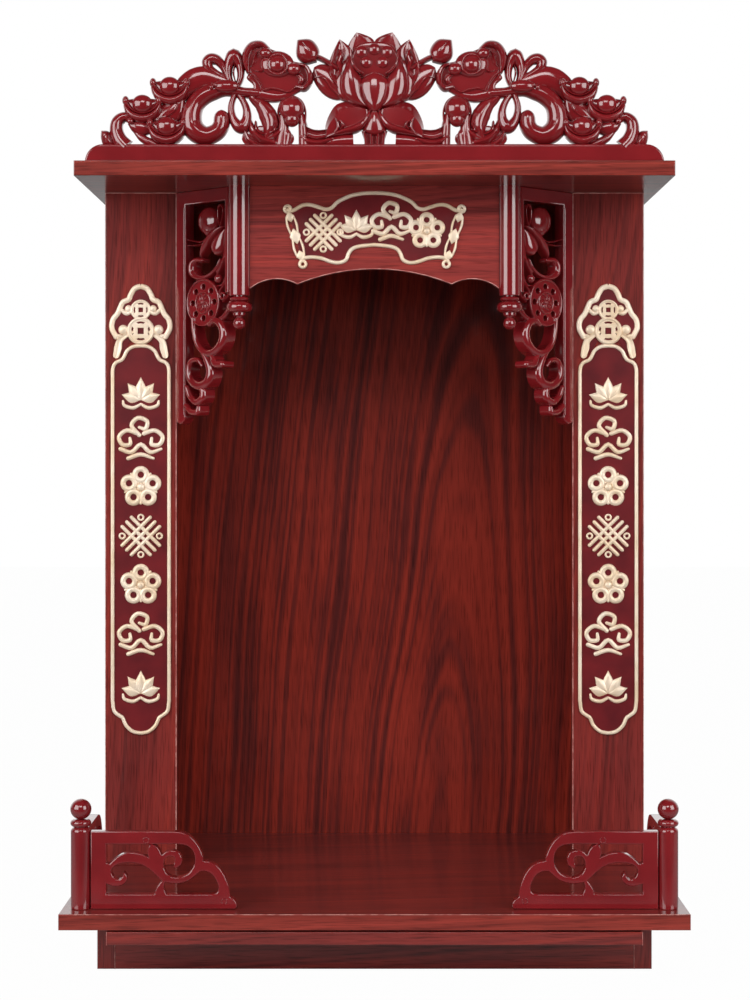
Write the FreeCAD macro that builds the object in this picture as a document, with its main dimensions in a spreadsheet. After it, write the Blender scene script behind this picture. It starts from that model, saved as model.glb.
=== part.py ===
import FreeCAD, Part
import math
import os

import Sketcher
from FreeCAD import Placement, Rotation, Vector

# A wall shrine shelf: a rosewood-grain cabinet open at the front between two broad pillar boards,
# with a shelf that reaches forward, a low base with a pull-out tray under it, and moulded carvings:
# a crest on the top board, corner brackets with hanging posts, and corner fences on the shelf.
# Millimetres. X runs across, -Y is the front, Z is up from the foot of the base.

SIZES = [
    ("shelf_width", 480.0, "shelf board, across"),
    ("shelf_depth", 356.0, "shelf board, from the wall to its front edge"),
    ("board", 12.0, "thickness of the shelf, top, side and pillar boards"),
    ("edge_ease", 0.8, "eased edges of the boards"),
    ("top_width", 480.0, "top board, across"),
    ("top_setback", 81.0, "top board's front edge behind the shelf's"),
    ("niche_height", 572.0, "shelf to top board, clear"),
    ("cabinet_width", 458.0, "across the pillar boards, outside"),
    ("pillar_width", 60.5, "one pillar board, across"),
    ("pillar_setback", 194.0, "pillar board's face behind the shelf's front edge"),
    ("back_thickness", 9.0, "back panel"),
    ("screw_spacing", 200.0, "between the two hanging screws"),
    ("screw_drop", 22.0, "hanging screws below the top board"),
    ("screw_hole", 6.0, "diameter of the hanging screws' holes"),
    ("base_width", 438.0, "base, outside"),
    ("base_height", 45.0, "base, foot to shelf"),
    ("base_setback", 65.0, "base's front behind the shelf's front edge"),
    ("base_wall", 14.0, "base boards"),
    ("tray_thickness", 10.0, "pull-out tray"),
    ("tray_back_gap", 42.0, "tray in front of the base's back board"),
    ("tray_top_gap", 1.2, "tray below the shelf"),
    ("tray_side_gap", 1.5, "tray beside each base board"),
    ("tray_run_gap", 0.3, "tray above its runners and the base's front board"),
    ("runner_width", 12.0, "tray runner, across"),
    ("runner_height", 10.0, "tray runner, up"),
    ("pendant_spacing", 224.0, "between the two hanging posts' axes"),
    ("pendant_setback", 148.0, "hanging posts' axes behind the shelf's front edge"),
    ("pole_diameter", 17.4, "hanging post"),
    ("pole_drop", 91.0, "hanging post's plain pole, down from the top board"),
    ("collar_diameter", 17.0, "collar under the pole"),
    ("collar_height", 4.6, "collar under the pole"),
    ("bead_diameter", 21.8, "bead under the collar"),
    ("bead_height", 10.6, "bead under the collar"),
    ("pendant_neck", 9.0, "diameter of the necks above and below the bead"),
    ("pendant_ball", 11.0, "ball at the post's foot"),
    ("lintel_thickness", 9.0, "arched board between the hanging posts"),
    ("lintel_setback", 146.0, "arched board's face behind the shelf's front edge"),
    ("lintel_end_drop", 85.0, "arched board's height at its ends"),
    ("lintel_mid_drop", 69.0, "arched board's height at mid-span"),
    ("lintel_cusp_drop", 81.5, "arched board's height at its cusps"),
    ("lintel_cusp", 64.0, "cusps from mid-span"),
    ("plaque_thickness", 2.4, "gilt scroll border on the arched board"),
    ("bracket_thickness", 10.0, "openwork bracket"),
    ("bracket_drop", 197.0, "openwork bracket's bar, down from the top board"),
    ("bracket_bar", 9.5, "bracket's bars"),
    ("medallion_diameter", 40.0, "round medallion in the bracket"),
    ("post_spacing", 452.0, "between the two corner posts' axes"),
    ("post_setback", 23.0, "corner posts' axes behind the shelf's front edge"),
    ("post_diameter", 15.4, "corner post"),
    ("post_height", 63.5, "corner post up to its neck"),
    ("post_shoulder", 2.2, "height of the post's rounded shoulder"),
    ("post_ring", 5.4, "height of the ring under the ball"),
    ("post_neck", 12.0, "diameter of the neck and the foot"),
    ("post_foot", 2.0, "height of the foot"),
    ("post_ball", 15.6, "ball on the corner post"),
    ("post_overlap", 0.8, "how deep a turned post's beads sink into each other"),
    ("fence_thickness", 9.0, "openwork fence panel"),
    ("fence_height", 60.0, "fence panel at the post"),
    ("fence_length", 121.0, "from the post's axis to the fence's toe"),
    ("fence_bar", 9.5, "fence's outline bars"),
    ("crest_setback", 10.0, "crest's face behind the top board's front edge"),
    ("crest_thickness", 10.0, "crest's rail"),
    ("crest_rail_width", 465.0, "crest's rail, across"),
    ("crest_rail_height", 14.5, "crest's rail, up"),
    ("gilt_thickness", 1.8, "gilt frames on the pillar boards"),
    ("gilt_bar", 2.8, "width of the gilt frame's bar"),
    ("gilt_width", 50.0, "gilt frame, across"),
    ("gilt_top", 130.0, "top of the gilt frame's arch below the top board"),
    ("gilt_length", 329.0, "gilt frame, top of its arch to its foot"),
]

doc = FreeCAD.newDocument("shrine_shelf")
sheet = doc.addObject("Spreadsheet::Sheet", "sizes")
for row, (alias, number, meaning) in enumerate(SIZES, start=1):
    sheet.set(f"A{row}", meaning)
    sheet.set(f"B{row}", str(number))
    sheet.setAlias(f"B{row}", alias)
doc.recompute()

# Levels and planes that several pieces share
FRONT = "(-sizes.shelf_depth / 2)"
WALL = "(sizes.shelf_depth / 2)"
SHELF_UNDER = "sizes.base_height"
SHELF_TOP = "(sizes.base_height + sizes.board)"
TOP_UNDER = f"({SHELF_TOP} + sizes.niche_height)"
TOP_TOP = f"({TOP_UNDER} + sizes.board)"
PILLAR_FACE = f"({FRONT} + sizes.pillar_setback)"
PILLAR_INNER = "(sizes.cabinet_width / 2 - sizes.pillar_width)"
PENDANT_Y = f"({FRONT} + sizes.pendant_setback)"
TRAY_TOP = f"({SHELF_UNDER} - sizes.tray_top_gap)"
TRAY_UNDER = f"({TRAY_TOP} - sizes.tray_thickness)"
TRAY_SEAT = f"({TRAY_UNDER} - sizes.tray_run_gap)"
BASE_FRONT = f"({FRONT} + sizes.base_setback)"
BASE_INNER = "(sizes.base_width / 2 - sizes.base_wall)"

kept = []


def value(expression):
    """The number that an expression on the sheet gives now."""
    return float(sheet.evalExpression(expression))


def place(piece, x, y, z):
    """Bind a piece's place to expressions."""
    piece.setExpression("Placement.Base.x", x)
    piece.setExpression("Placement.Base.y", y)
    piece.setExpression("Placement.Base.z", z)


def keep(piece, label):
    """Name a finished piece and list it for export."""
    piece.Label = label
    kept.append(piece)
    return piece


def origin_plane(body, role):
    for feature in body.Origin.OriginFeatures:
        if feature.Role == role:
            return feature


def board(label, across, deep, tall, x, y, z):
    """A board: its plan is a rectangle padded up from its low corner, its front edges are eased."""
    body = doc.addObject("PartDesign::Body", label + "_body")
    sketch = body.newObject("Sketcher::SketchObject", label + "_plan")
    sketch.AttachmentSupport = [(origin_plane(body, "XY_Plane"), "")]
    sketch.MapMode = "FlatFace"
    corners = [Vector(0, 0, 0), Vector(10, 0, 0), Vector(10, 10, 0), Vector(0, 10, 0)]
    for start, end in zip(corners, corners[1:] + corners[:1]):
        sketch.addGeometry(Part.LineSegment(start, end), False)
    for side in range(4):
        sketch.addConstraint(Sketcher.Constraint("Coincident", side, 2, (side + 1) % 4, 1))
    for side in (0, 2):
        sketch.addConstraint(Sketcher.Constraint("Horizontal", side))
    for side in (1, 3):
        sketch.addConstraint(Sketcher.Constraint("Vertical", side))
    sketch.addConstraint(Sketcher.Constraint("Coincident", 0, 1, -1, 1))
    for name, side, direction in (("across", 0, "DistanceX"), ("deep", 1, "DistanceY")):
        index = sketch.addConstraint(Sketcher.Constraint(direction, side, 1, side, 2, 10.0))
        sketch.renameConstraint(index, name)
    sketch.setExpression("Constraints.across", across)
    sketch.setExpression("Constraints.deep", deep)
    pad = body.newObject("PartDesign::Pad", label + "_pad")
    pad.Profile = sketch
    pad.setExpression("Length", tall)
    doc.recompute()
    front_edges = [f"Edge{number}" for number, edge in enumerate(pad.Shape.Edges, start=1)
                   if abs(edge.BoundBox.YMax) < 0.01]
    ease = body.newObject("PartDesign::Fillet", label + "_ease")
    ease.Base = (pad, front_edges)
    ease.setExpression("Radius", "sizes.edge_ease")
    body.Tip = ease
    place(body, x, y, z)
    return keep(body, label)


def side_x(side, outer, width):
    """Low corner of a piece whose outer side stands at the given distance from the middle."""
    return f"-({outer})" if side == "left" else f"({outer}) - ({width})"


def add_boards():
    """Shelf, top, sides, pillar boards, back and base."""
    board("shelf_board", "sizes.shelf_width", "sizes.shelf_depth", "sizes.board",
          "-sizes.shelf_width / 2", FRONT, SHELF_UNDER)
    board("top_board", "sizes.top_width", "sizes.shelf_depth - sizes.top_setback", "sizes.board",
          "-sizes.top_width / 2", f"{FRONT} + sizes.top_setback", TOP_UNDER)
    half = "sizes.cabinet_width / 2"
    side_depth = f"({WALL} - sizes.back_thickness - {PILLAR_FACE} - sizes.board)"
    for side in ("left", "right"):
        board(f"pillar_board_{side}", "sizes.pillar_width", "sizes.board", "sizes.niche_height",
              side_x(side, half, "sizes.pillar_width"), PILLAR_FACE, SHELF_TOP)
        board(f"side_panel_{side}", "sizes.board", side_depth, "sizes.niche_height",
              side_x(side, half, "sizes.board"), f"{PILLAR_FACE} + sizes.board", SHELF_TOP)
        board(f"base_side_{side}", "sizes.base_wall", f"{WALL} - {BASE_FRONT}", "sizes.base_height",
              side_x(side, "sizes.base_width / 2", "sizes.base_wall"), BASE_FRONT, "0")
        board(f"tray_runner_{side}", "sizes.runner_width",
              f"sizes.shelf_depth - sizes.base_setback - 2 * sizes.base_wall", "sizes.runner_height",
              side_x(side, BASE_INNER, "sizes.runner_width"), f"{BASE_FRONT} + sizes.base_wall",
              f"{TRAY_SEAT} - sizes.runner_height")
    inner = f"2 * {BASE_INNER}"
    board("base_front", inner, "sizes.base_wall", TRAY_SEAT, f"-{BASE_INNER}", BASE_FRONT, "0")
    board("base_back", inner, "sizes.base_wall", "sizes.base_height", f"-{BASE_INNER}",
          f"{WALL} - sizes.base_wall", "0")
    board("offering_tray", f"{inner} - 2 * sizes.tray_side_gap",
          "sizes.shelf_depth - sizes.base_wall - sizes.tray_back_gap",
          "sizes.tray_thickness", f"-({BASE_INNER} - sizes.tray_side_gap)", FRONT, TRAY_UNDER)


def add_back_panel():
    """The back panel with the two holes that it hangs by."""
    panel = doc.addObject("Part::Box", "back_sheet")
    panel.setExpression("Length", "sizes.cabinet_width")
    panel.setExpression("Width", "sizes.back_thickness")
    panel.setExpression("Height", "sizes.niche_height")
    place(panel, "-sizes.cabinet_width / 2", f"{WALL} - sizes.back_thickness", SHELF_TOP)
    holes = []
    for side, sign in (("left", "-1"), ("right", "1")):
        hole = doc.addObject("Part::Cylinder", f"screw_hole_{side}")
        hole.setExpression("Radius", "sizes.screw_hole / 2")
        hole.setExpression("Height", "3 * sizes.back_thickness")
        hole.Placement = Placement(Vector(), Rotation(Vector(1, 0, 0), 90))
        place(hole, f"{sign} * sizes.screw_spacing / 2", f"{WALL} + sizes.back_thickness",
              f"{TOP_UNDER} - sizes.screw_drop")
        holes.append(hole)
    both = doc.addObject("Part::MultiFuse", "screw_holes")
    both.Shapes = holes
    cut = doc.addObject("Part::Cut", "drilled_back")
    cut.Base = panel
    cut.Tool = both
    keep(cut, "back_panel")


def turned(label, stages, x, y, z, down=False):
    """A turned post: rods and beads stacked from the bottom up, or from the top down.

    Each stage names its kind, its diameter, its height and how deep it sinks into the one before.
    """
    stack = []
    level = "0"
    for index, (kind, diameter, height, sink) in enumerate(stages):
        low = f"({level}) - ({sink})"
        if kind == "rod":
            stage = doc.addObject("Part::Cylinder", f"{label}_{index}")
            stage.setExpression("Radius", f"({diameter}) / 2")
            stage.setExpression("Height", height)
            start = f"-({low}) - ({height})" if down else low
        else:
            stage = doc.addObject("Part::Ellipsoid", f"{label}_{index}")
            stage.setExpression("Radius1", f"({height}) / 2")
            stage.setExpression("Radius2", f"({diameter}) / 2")
            middle = f"{low} + ({height}) / 2"
            start = f"-({middle})" if down else middle
        place(stage, x, y, f"{z} + ({start})")
        stack.append(stage)
        level = f"{low} + ({height})"
    post = doc.addObject("Part::MultiFuse", label + "_post")
    post.Shapes = stack
    return keep(post, label)


def add_turned_posts():
    """Hanging posts under the top board and corner posts on the shelf."""
    neck_height = "sizes.collar_height + sizes.bead_height"
    for side, sign in (("left", "-1"), ("right", "1")):
        turned(f"pendant_post_{side}", [
            ("rod", "sizes.pole_diameter", "sizes.pole_drop", "0"),
            ("rod", "sizes.pendant_neck", neck_height, "0"),
            ("bead", "sizes.collar_diameter", "sizes.collar_height", f"{neck_height} - sizes.post_overlap"),
            ("bead", "sizes.bead_diameter", "sizes.bead_height", "sizes.post_overlap"),
            ("rod", "sizes.pendant_ball / 2", "sizes.pendant_ball / 2", "sizes.pendant_ball / 5"),
            ("bead", "sizes.pendant_ball", "sizes.pendant_ball", "sizes.pendant_ball / 3"),
        ], f"{sign} * sizes.pendant_spacing / 2", PENDANT_Y, TOP_UNDER, down=True)
        turned(f"fence_post_{side}", [
            ("rod", "sizes.post_neck", "sizes.post_foot", "0"),
            ("rod", "sizes.post_diameter", "sizes.post_height - sizes.post_foot - sizes.post_shoulder", "0"),
            ("bead", "sizes.post_diameter", "2 * sizes.post_shoulder", "sizes.post_shoulder"),
            ("rod", "sizes.post_neck", "sizes.post_ring", "sizes.post_overlap"),
            ("bead", "sizes.post_diameter", "sizes.post_ring", "sizes.post_ring - sizes.post_overlap"),
            ("bead", "sizes.post_ball", "sizes.post_ball", "sizes.post_overlap"),
        ], f"{sign} * sizes.post_spacing / 2", f"{FRONT} + sizes.post_setback", SHELF_TOP)


def width_at(widths, share):
    """A band's width at a share of its length, straight between the given widths."""
    place_in = share * (len(widths) - 1)
    index = min(int(place_in), len(widths) - 2)
    rest = place_in - index
    return widths[index] * (1 - rest) + widths[index + 1] * rest


def smooth(points, closed=False):
    curve = Part.BSplineCurve()
    curve.interpolate(points, PeriodicFlag=closed)
    return curve


def band(points, widths):
    """A flat band of changing width with round ends, along a smooth line through a few points."""
    middle = smooth([Vector(x, y, 0) for x, y in points])
    first, last = middle.FirstParameter, middle.LastParameter
    steps = 4 * (len(points) - 1)
    rows = []
    for step in range(steps + 1):
        share = step / steps
        parameter = first + (last - first) * share
        along = middle.tangent(parameter)[0]
        side = Vector(-along.y, along.x, 0) * (width_at(widths, share) / 2)
        rows.append((middle.value(parameter), side))
    left = [point + side for point, side in rows]
    right = [point - side for point, side in rows]
    start, start_side = rows[0]
    end, end_side = rows[-1]
    behind = Vector(-start_side.y, start_side.x, 0)
    ahead = Vector(end_side.y, -end_side.x, 0)
    edges = [
        smooth(left).toShape(),
        Part.Arc(left[-1], end + ahead, right[-1]).toShape(),
        smooth(right[::-1]).toShape(),
        Part.Arc(right[0], start + behind, left[0]).toShape(),
    ]
    return Part.Face(Part.Wire(edges))


def shape_of(*runs):
    """A flat shape with a rim of several runs: two points make a straight side, more a smooth one."""
    edges = []
    for run in runs:
        spots = [Vector(x, y, 0) for x, y in run]
        edges.append(Part.LineSegment(*spots) if len(spots) == 2 else smooth(spots))
    return Part.Face(Part.Wire([edge.toShape() for edge in edges]))


def loop(rim, hole):
    """A ribbon's loop: a closed smooth outline round a closed smooth hole."""
    return outline(rim).cut(outline(hole)).Faces[0]


def leaf(left, right):
    """A leaf or petal between two smooth edges from the same foot to the same tip."""
    return shape_of(left, right[::-1])


def disc(centre, radius):
    return Part.Face(Part.Wire(Part.Circle(Vector(*centre, 0), Vector(0, 0, 1), radius).toShape()))


def outline(points):
    """A closed smooth outline through a few points."""
    return Part.Face(Part.Wire(smooth([Vector(x, y, 0) for x, y in points], True).toShape()))


def scaled(shape, size):
    """A drawing made as much larger as its piece is than the one that was drawn."""
    copy = shape.copy()
    copy.scale(size)
    return copy


def raised(face, height, low=0.0):
    """A flat shape given its thickness, from a low level up."""
    solid = face.extrude(Vector(0, 0, height - low))
    solid.translate(Vector(0, 0, low))
    return solid


def joined(solids):
    return solids[0].multiFuse(solids[1:]).removeSplitter()


def mirrored(solid):
    return solid.mirror(Vector(0, 0, 0), Vector(1, 0, 0))


def moulding(label, shape, placement):
    """A moulded carving in the drawing plane, stood up where it belongs."""
    piece = doc.addObject("Part::Feature", label + "_carving")
    piece.Shape = shape
    piece.Placement = placement
    return keep(piece, label)


def facing_front(x, y, z, turn=0.0):
    """Stand a drawing up: its right stays to the right, its up is up, its face looks to the front."""
    return Placement(Vector(x, y, z), Rotation(Vector(0, 0, 1), turn) * Rotation(Vector(1, 0, 0), 90))


def ingot(x, y):
    """A boat-shaped ingot: its hull, its mouth and its two horns, each with its share of the relief."""
    def put(points):
        return [(x + across, y + up) for across, up in points]

    hull = leaf(put([(-15.2, 1.5), (-7.0, -4.6), (0, -6.4), (7.0, -4.6), (15.2, 1.5)]),
                put([(-15.2, 1.5), (-10.4, -10.0), (0, -14.6), (10.4, -10.0), (15.2, 1.5)]))
    mouth = leaf(put([(-14.0, 1.5), (0, 4.0), (14.0, 1.5)]), put([(-14.0, 1.5), (0, -7.4), (14.0, 1.5)]))
    horns = [band(put([(sign * 14.2, -2.0), (sign * 12.6, 3.6)]), [3.4, 4.4]) for sign in (-1, 1)]
    return [(hull, 1.15), (mouth, 0.6)] + [(horn, 1.0) for horn in horns]


INGOTS = ((186.4, 46.1), (164.4, 60.5), (166.9, 28.4))
CREST_DRAWN_WIDTH = 465.0


def crest_half():
    """The right half of the crest's openwork: flat shapes, each with its share of the relief.

    Across runs out from the middle of the crest, up from the top board.
    """
    sceptre = [
        (band([(99.0, 56.6), (109.8, 57.6), (120.5, 59.7), (129.0, 58.0), (137.8, 54.2), (144.1, 47.9),
               (147.3, 39.3), (147.0, 30.3), (142.1, 24.0), (134.7, 22.3), (126.4, 25.9), (123.1, 31.3),
               (123.1, 36.2)],
              [9.2, 9.0, 12.0, 14.3, 14.3, 14.6, 15.9, 18.2, 17.7, 14.2, 13.5, 13.5, 12.9]), 1.2),
        (outline([(104.8, 84.7), (105.4, 90.8), (101.3, 95.7), (95.1, 97.7), (89.0, 96.7), (82.8, 90.8),
                  (77.4, 89.3), (70.5, 86.5), (65.1, 81.3), (57.4, 79.3), (52.0, 74.7), (51.0, 66.2),
                  (55.9, 59.6), (62.0, 55.0), (68.2, 52.4), (77.4, 50.5), (89.7, 50.8), (98.2, 54.6),
                  (101.0, 63.1), (102.4, 70.7), (102.9, 77.7)]), 0.95),
        (disc((78.0, 78.4), 11.8), 1.35),
        (disc((87.6, 87.0), 4.4), 1.4),
        (disc((63.7, 73.9), 4.6), 1.4),
    ]
    bow = [
        (loop([(122.9, 65.0), (131.3, 71.6), (137.1, 77.0), (139.0, 81.9), (135.9, 86.5), (129.8, 88.0),
               (123.3, 85.4), (118.5, 79.3), (115.1, 72.0), (114.9, 64.5)],
              [(120.6, 69.6), (126.0, 73.0), (129.0, 77.4), (127.8, 79.9), (124.0, 78.4), (120.8, 74.0)]), 0.9),
        (loop([(113.6, 61.0), (118.2, 67.5), (119.9, 78.0), (119.0, 86.5), (115.5, 92.0), (112.4, 93.0),
               (109.0, 92.0), (106.0, 86.5), (105.6, 78.0), (107.2, 67.5), (110.0, 61.0)],
              [(112.3, 67.5), (114.4, 72.0), (114.8, 77.5), (112.6, 80.5), (110.6, 77.5), (110.6, 72.0)]), 1.0),
        (loop([(116.8, 56.5), (117.6, 44.0), (115.0, 32.0), (111.0, 25.2), (107.0, 23.8), (102.4, 25.8),
               (100.0, 31.5), (100.6, 42.0), (104.0, 50.5), (107.5, 57.0)],
              [(112.2, 50.5), (112.0, 42.0), (109.8, 38.0), (107.3, 40.5), (107.6, 46.0)]), 0.95),
        (band([(99.2, 54.3), (91.3, 46.9), (85.9, 38.5), (83.6, 30.0), (85.9, 19.6)],
              [4.5, 9.5, 13.2, 11.7, 7.2]), 1.0),
        (band([(155.4, 58.7), (147.5, 66.4), (139.0, 70.0), (125.9, 68.3)], [11.0, 14.2, 12.6, 9.2]), 0.8),
    ]
    foot_leaves = [
        (band([(99.3, 33.9), (97.1, 25.4), (90.5, 18.7), (81.3, 16.2)], [3.1, 6.8, 7.7, 6.5]), 0.85),
        (band([(75.0, 33.9), (76.2, 25.9), (82.8, 19.6), (91.3, 17.0)], [3.1, 6.2, 6.8, 5.6]), 0.8),
        (band([(104.3, 27.0), (100.9, 19.8), (96.1, 14.0)], [3.1, 5.5, 6.2]), 0.75),
        (band([(72.0, 36.9), (71.2, 26.7), (71.6, 14.0)], [5.0, 5.6, 8.6]), 0.85),
        (band([(60.5, 36.9), (58.9, 26.7), (57.6, 14.0)], [5.0, 5.6, 7.4]), 0.85),
        (disc((66.4, 42.2), 10.4), 1.1),
        (band([(57.6, 30.0), (52.3, 24.6), (45.7, 22.3), (36.0, 22.8)], [5.0, 7.0, 7.0, 6.0]), 0.85),
        (leaf([(60.0, 12.0), (52.0, 20.0), (30.0, 23.6), (16.6, 18.6)],
              [(60.0, 12.0), (44.0, 12.6), (26.0, 12.0), (16.6, 18.6)]), 0.85),
    ]
    rail_end = [
        (band([(199.3, 12.9), (205.6, 19.0), (207.6, 26.2), (206.5, 33.0), (201.2, 36.3), (195.6, 34.1)],
              [13.6, 12.4, 11.1, 9.9, 8.4, 5.8]), 1.05),
        (leaf([(208.6, 13.0), (210.4, 20.4), (214.2, 25.8), (220.2, 26.4)],
              [(208.6, 13.0), (217.4, 13.0), (220.4, 19.6), (220.2, 26.4)]), 0.8),
        (band([(197.2, 28.7), (190.3, 23.6), (182.4, 16.2)], [5.4, 8.4, 8.2]), 0.75),
        (band([(177.9, 35.9), (168.2, 42.6), (160.5, 46.8), (154.0, 54.3)], [7.2, 10.2, 9.8, 7.2]), 0.7),
        (band([(174.9, 26.7), (163.2, 34.9), (155.0, 42.6)], [7.2, 8.7, 7.2]), 0.8),
    ]
    lotus = [
        (leaf([(46.6, 81.4), (55.8, 79.8), (63.0, 86.0), (62.4, 99.3)],
              [(46.6, 81.4), (44.2, 90.6), (50.8, 99.4), (62.4, 99.3)]), 1.1),
        (band([(48.6, 86.4), (43.0, 84.2), (36.0, 80.2), (28.0, 73.0)], [4.2, 4.6, 5.0, 5.0]), 0.8),
        (leaf([(39.2, 20.2), (40.2, 34.0), (36.4, 43.6), (29.1, 49.8), (16.0, 49.0), (4.6, 41.6)],
              [(39.2, 20.2), (31.0, 22.4), (24.0, 22.6), (15.0, 24.4), (8.6, 29.4), (4.6, 41.6)]), 1.0),
        (leaf([(19.5, 48.0), (21.4, 58.0), (21.2, 70.0), (17.8, 82.0), (19.6, 92.5), (28.4, 99.4)],
              [(19.5, 48.0), (30.4, 58.5), (36.0, 70.3), (36.6, 81.5), (33.0, 91.0), (28.4, 99.4)]), 0.85),
        (leaf([(48.0, 78.6), (42.0, 80.0), (34.6, 77.6), (29.0, 68.0), (22.0, 48.5)],
              [(48.0, 78.6), (50.4, 68.0), (42.0, 55.6), (31.0, 50.0), (22.0, 48.5)]), 0.75),
        (leaf([(14.0, 46.5), (20.0, 57.0), (18.6, 67.0), (15.8, 78.0), (24.2, 86.0)],
              [(14.0, 46.5), (28.8, 52.4), (33.6, 64.0), (32.0, 76.0), (24.2, 86.0)]), 1.0),
        (leaf([(4.0, 44.0), (9.0, 55.0), (9.6, 66.0), (12.0, 76.0), (20.2, 84.8)],
              [(4.0, 44.0), (24.0, 49.4), (28.2, 60.0), (26.4, 72.0), (20.2, 84.8)]), 1.15),
        (leaf([(-3.0, 66.0), (-2.0, 84.0), (-0.6, 96.0), (6.0, 103.0), (14.8, 104.8)],
              [(-3.0, 66.0), (18.0, 69.0), (21.6, 82.0), (20.6, 95.0), (14.8, 104.8)]), 0.6),
        (band([(6.2, 28.0), (4.6, 20.0), (4.0, 12.0)], [4.0, 4.0, 5.4]), 0.9),
    ]
    ingots = [part for centre in INGOTS for part in ingot(*centre)]
    return sceptre + bow + foot_leaves + rail_end + lotus + ingots


def add_crest():
    """The crest: a rail with rounded ends that carries a mirrored openwork round a lotus."""
    thick = value("sizes.crest_thickness")
    size = value("sizes.crest_rail_width") / CREST_DRAWN_WIDTH
    half, tall = value("sizes.crest_rail_width") / 2, value("sizes.crest_rail_height")
    bend = tall * math.sqrt(0.5)
    corners = [Vector(-half, 0, 0), Vector(half, 0, 0), Vector(half - tall, tall, 0),
               Vector(tall - half, tall, 0)]
    rail = [
        Part.LineSegment(corners[0], corners[1]).toShape(),
        Part.Arc(corners[1], Vector(half - tall + bend, bend, 0), corners[2]).toShape(),
        Part.LineSegment(corners[2], corners[3]).toShape(),
        Part.Arc(corners[3], Vector(tall - half - bend, bend, 0), corners[0]).toShape(),
    ]
    solids = [raised(Part.Face(Part.Wire(rail)), 1.1 * thick)]
    for shape, share in crest_half():
        solid = raised(scaled(shape, size), share * thick)
        solids += [solid, mirrored(solid)]
    # The ingots' domes stand on their mouths
    for x, y in INGOTS:
        dome = Part.makeSphere(7.6 * size, Vector(x * size, (y + 0.4) * size, 0.55 * thick),
                               Vector(0, 0, 1), 0, 90, 360)
        solids += [dome, mirrored(dome)]
    # Seed head, front petal and stem on the middle line
    front_edge = [(0, 41.4), (8.6, 45.0), (13.2, 54.0), (13.4, 63.0), (9.6, 69.8), (3.6, 73.6), (0, 79.0)]
    middle = [
        (outline([(-19, 84), (-16, 73), (0, 66), (16, 73), (19, 84), (14, 93.5), (0, 97), (-14, 93.5)]), 0.72),
        (leaf([(-x, y) for x, y in front_edge], front_edge), 1.35),
        (outline([(-9, 32), (-6.2, 26), (0, 21), (6.2, 26), (9, 32), (7, 44), (0, 48), (-7, 44)]), 1.05),
    ]
    solids += [raised(scaled(shape, size), share * thick) for shape, share in middle]
    y = value(f"{FRONT} + sizes.top_setback + sizes.crest_setback + sizes.crest_thickness")
    moulding("crest", joined(solids), facing_front(0, y, value(TOP_TOP)))


def add_lintel():
    """The arched board between the hanging posts, with its gilt scroll border."""
    half = value("sizes.pendant_spacing / 2 - sizes.pole_diameter / 2")
    cusp, mid = value("sizes.lintel_cusp"), value("sizes.lintel_mid_drop")
    cusp_drop, end_drop = value("sizes.lintel_cusp_drop"), value("sizes.lintel_end_drop")
    small_peak = (cusp_drop + mid) / 2 + 2
    edges = [
        Part.LineSegment(Vector(half, -end_drop, 0), Vector(half, 0, 0)).toShape(),
        Part.LineSegment(Vector(half, 0, 0), Vector(-half, 0, 0)).toShape(),
        Part.LineSegment(Vector(-half, 0, 0), Vector(-half, -end_drop, 0)).toShape(),
        Part.Arc(Vector(-half, -end_drop, 0), Vector(-(half + cusp) / 2, -small_peak, 0),
                 Vector(-cusp, -cusp_drop, 0)).toShape(),
        Part.Arc(Vector(-cusp, -cusp_drop, 0), Vector(0, -mid, 0), Vector(cusp, -cusp_drop, 0)).toShape(),
        Part.Arc(Vector(cusp, -cusp_drop, 0), Vector((half + cusp) / 2, -small_peak, 0),
                 Vector(half, -end_drop, 0)).toShape(),
    ]
    thickness = value("sizes.lintel_thickness")
    face_y = value(f"{FRONT} + sizes.lintel_setback")
    moulding("lintel_board", raised(Part.Face(Part.Wire(edges)), thickness),
             facing_front(0, face_y + thickness, value(TOP_UNDER)))
    add_plaque(face_y)


PLAQUE_DRAWN_SPACING = 224.0


def add_plaque(face_y):
    """The gilt scroll border: a waved strip above and below, slanting sides, a ring at each corner."""
    thick = value("sizes.plaque_thickness")
    size = value("sizes.pendant_spacing") / PLAQUE_DRAWN_SPACING
    top = [(0, -6.0), (17.8, -7.9), (31.0, -13.9), (38.3, -19.4), (45.5, -18.1), (53.5, -15.9), (60.0, -16.5),
           (67.3, -20.5), (71.5, -20.0)]
    foot = [(0, -48.9), (12.5, -50.2), (20.5, -53.5), (24.4, -62.1), (30.4, -63.6), (36.3, -62.7),
            (44.2, -60.1), (52.1, -59.2), (59.4, -63.0)]
    solids = []
    for line in (top, foot):
        whole = [(-x, y) for x, y in line[:0:-1]] + line
        solids.append(raised(scaled(band(whole, [2.9, 2.9]), size), thick))
    for sign in (-1, 1):
        side = band([(sign * 71.6, -20.0), (sign * 66.4, -42.0), (sign * 59.4, -64.0)], [7.0, 7.0])
        solids.append(raised(scaled(side, size), 0.8 * thick))
        for across, up in ((72.0, -19.4), (59.4, -65.0)):
            solids.append(raised(scaled(disc((sign * across, up), 3.8), size), 1.2 * thick))
    moulding("plaque_border", joined(solids), facing_front(0, face_y, value(TOP_UNDER)))


BRACKET_DRAWN_DROP = 197.0


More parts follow.
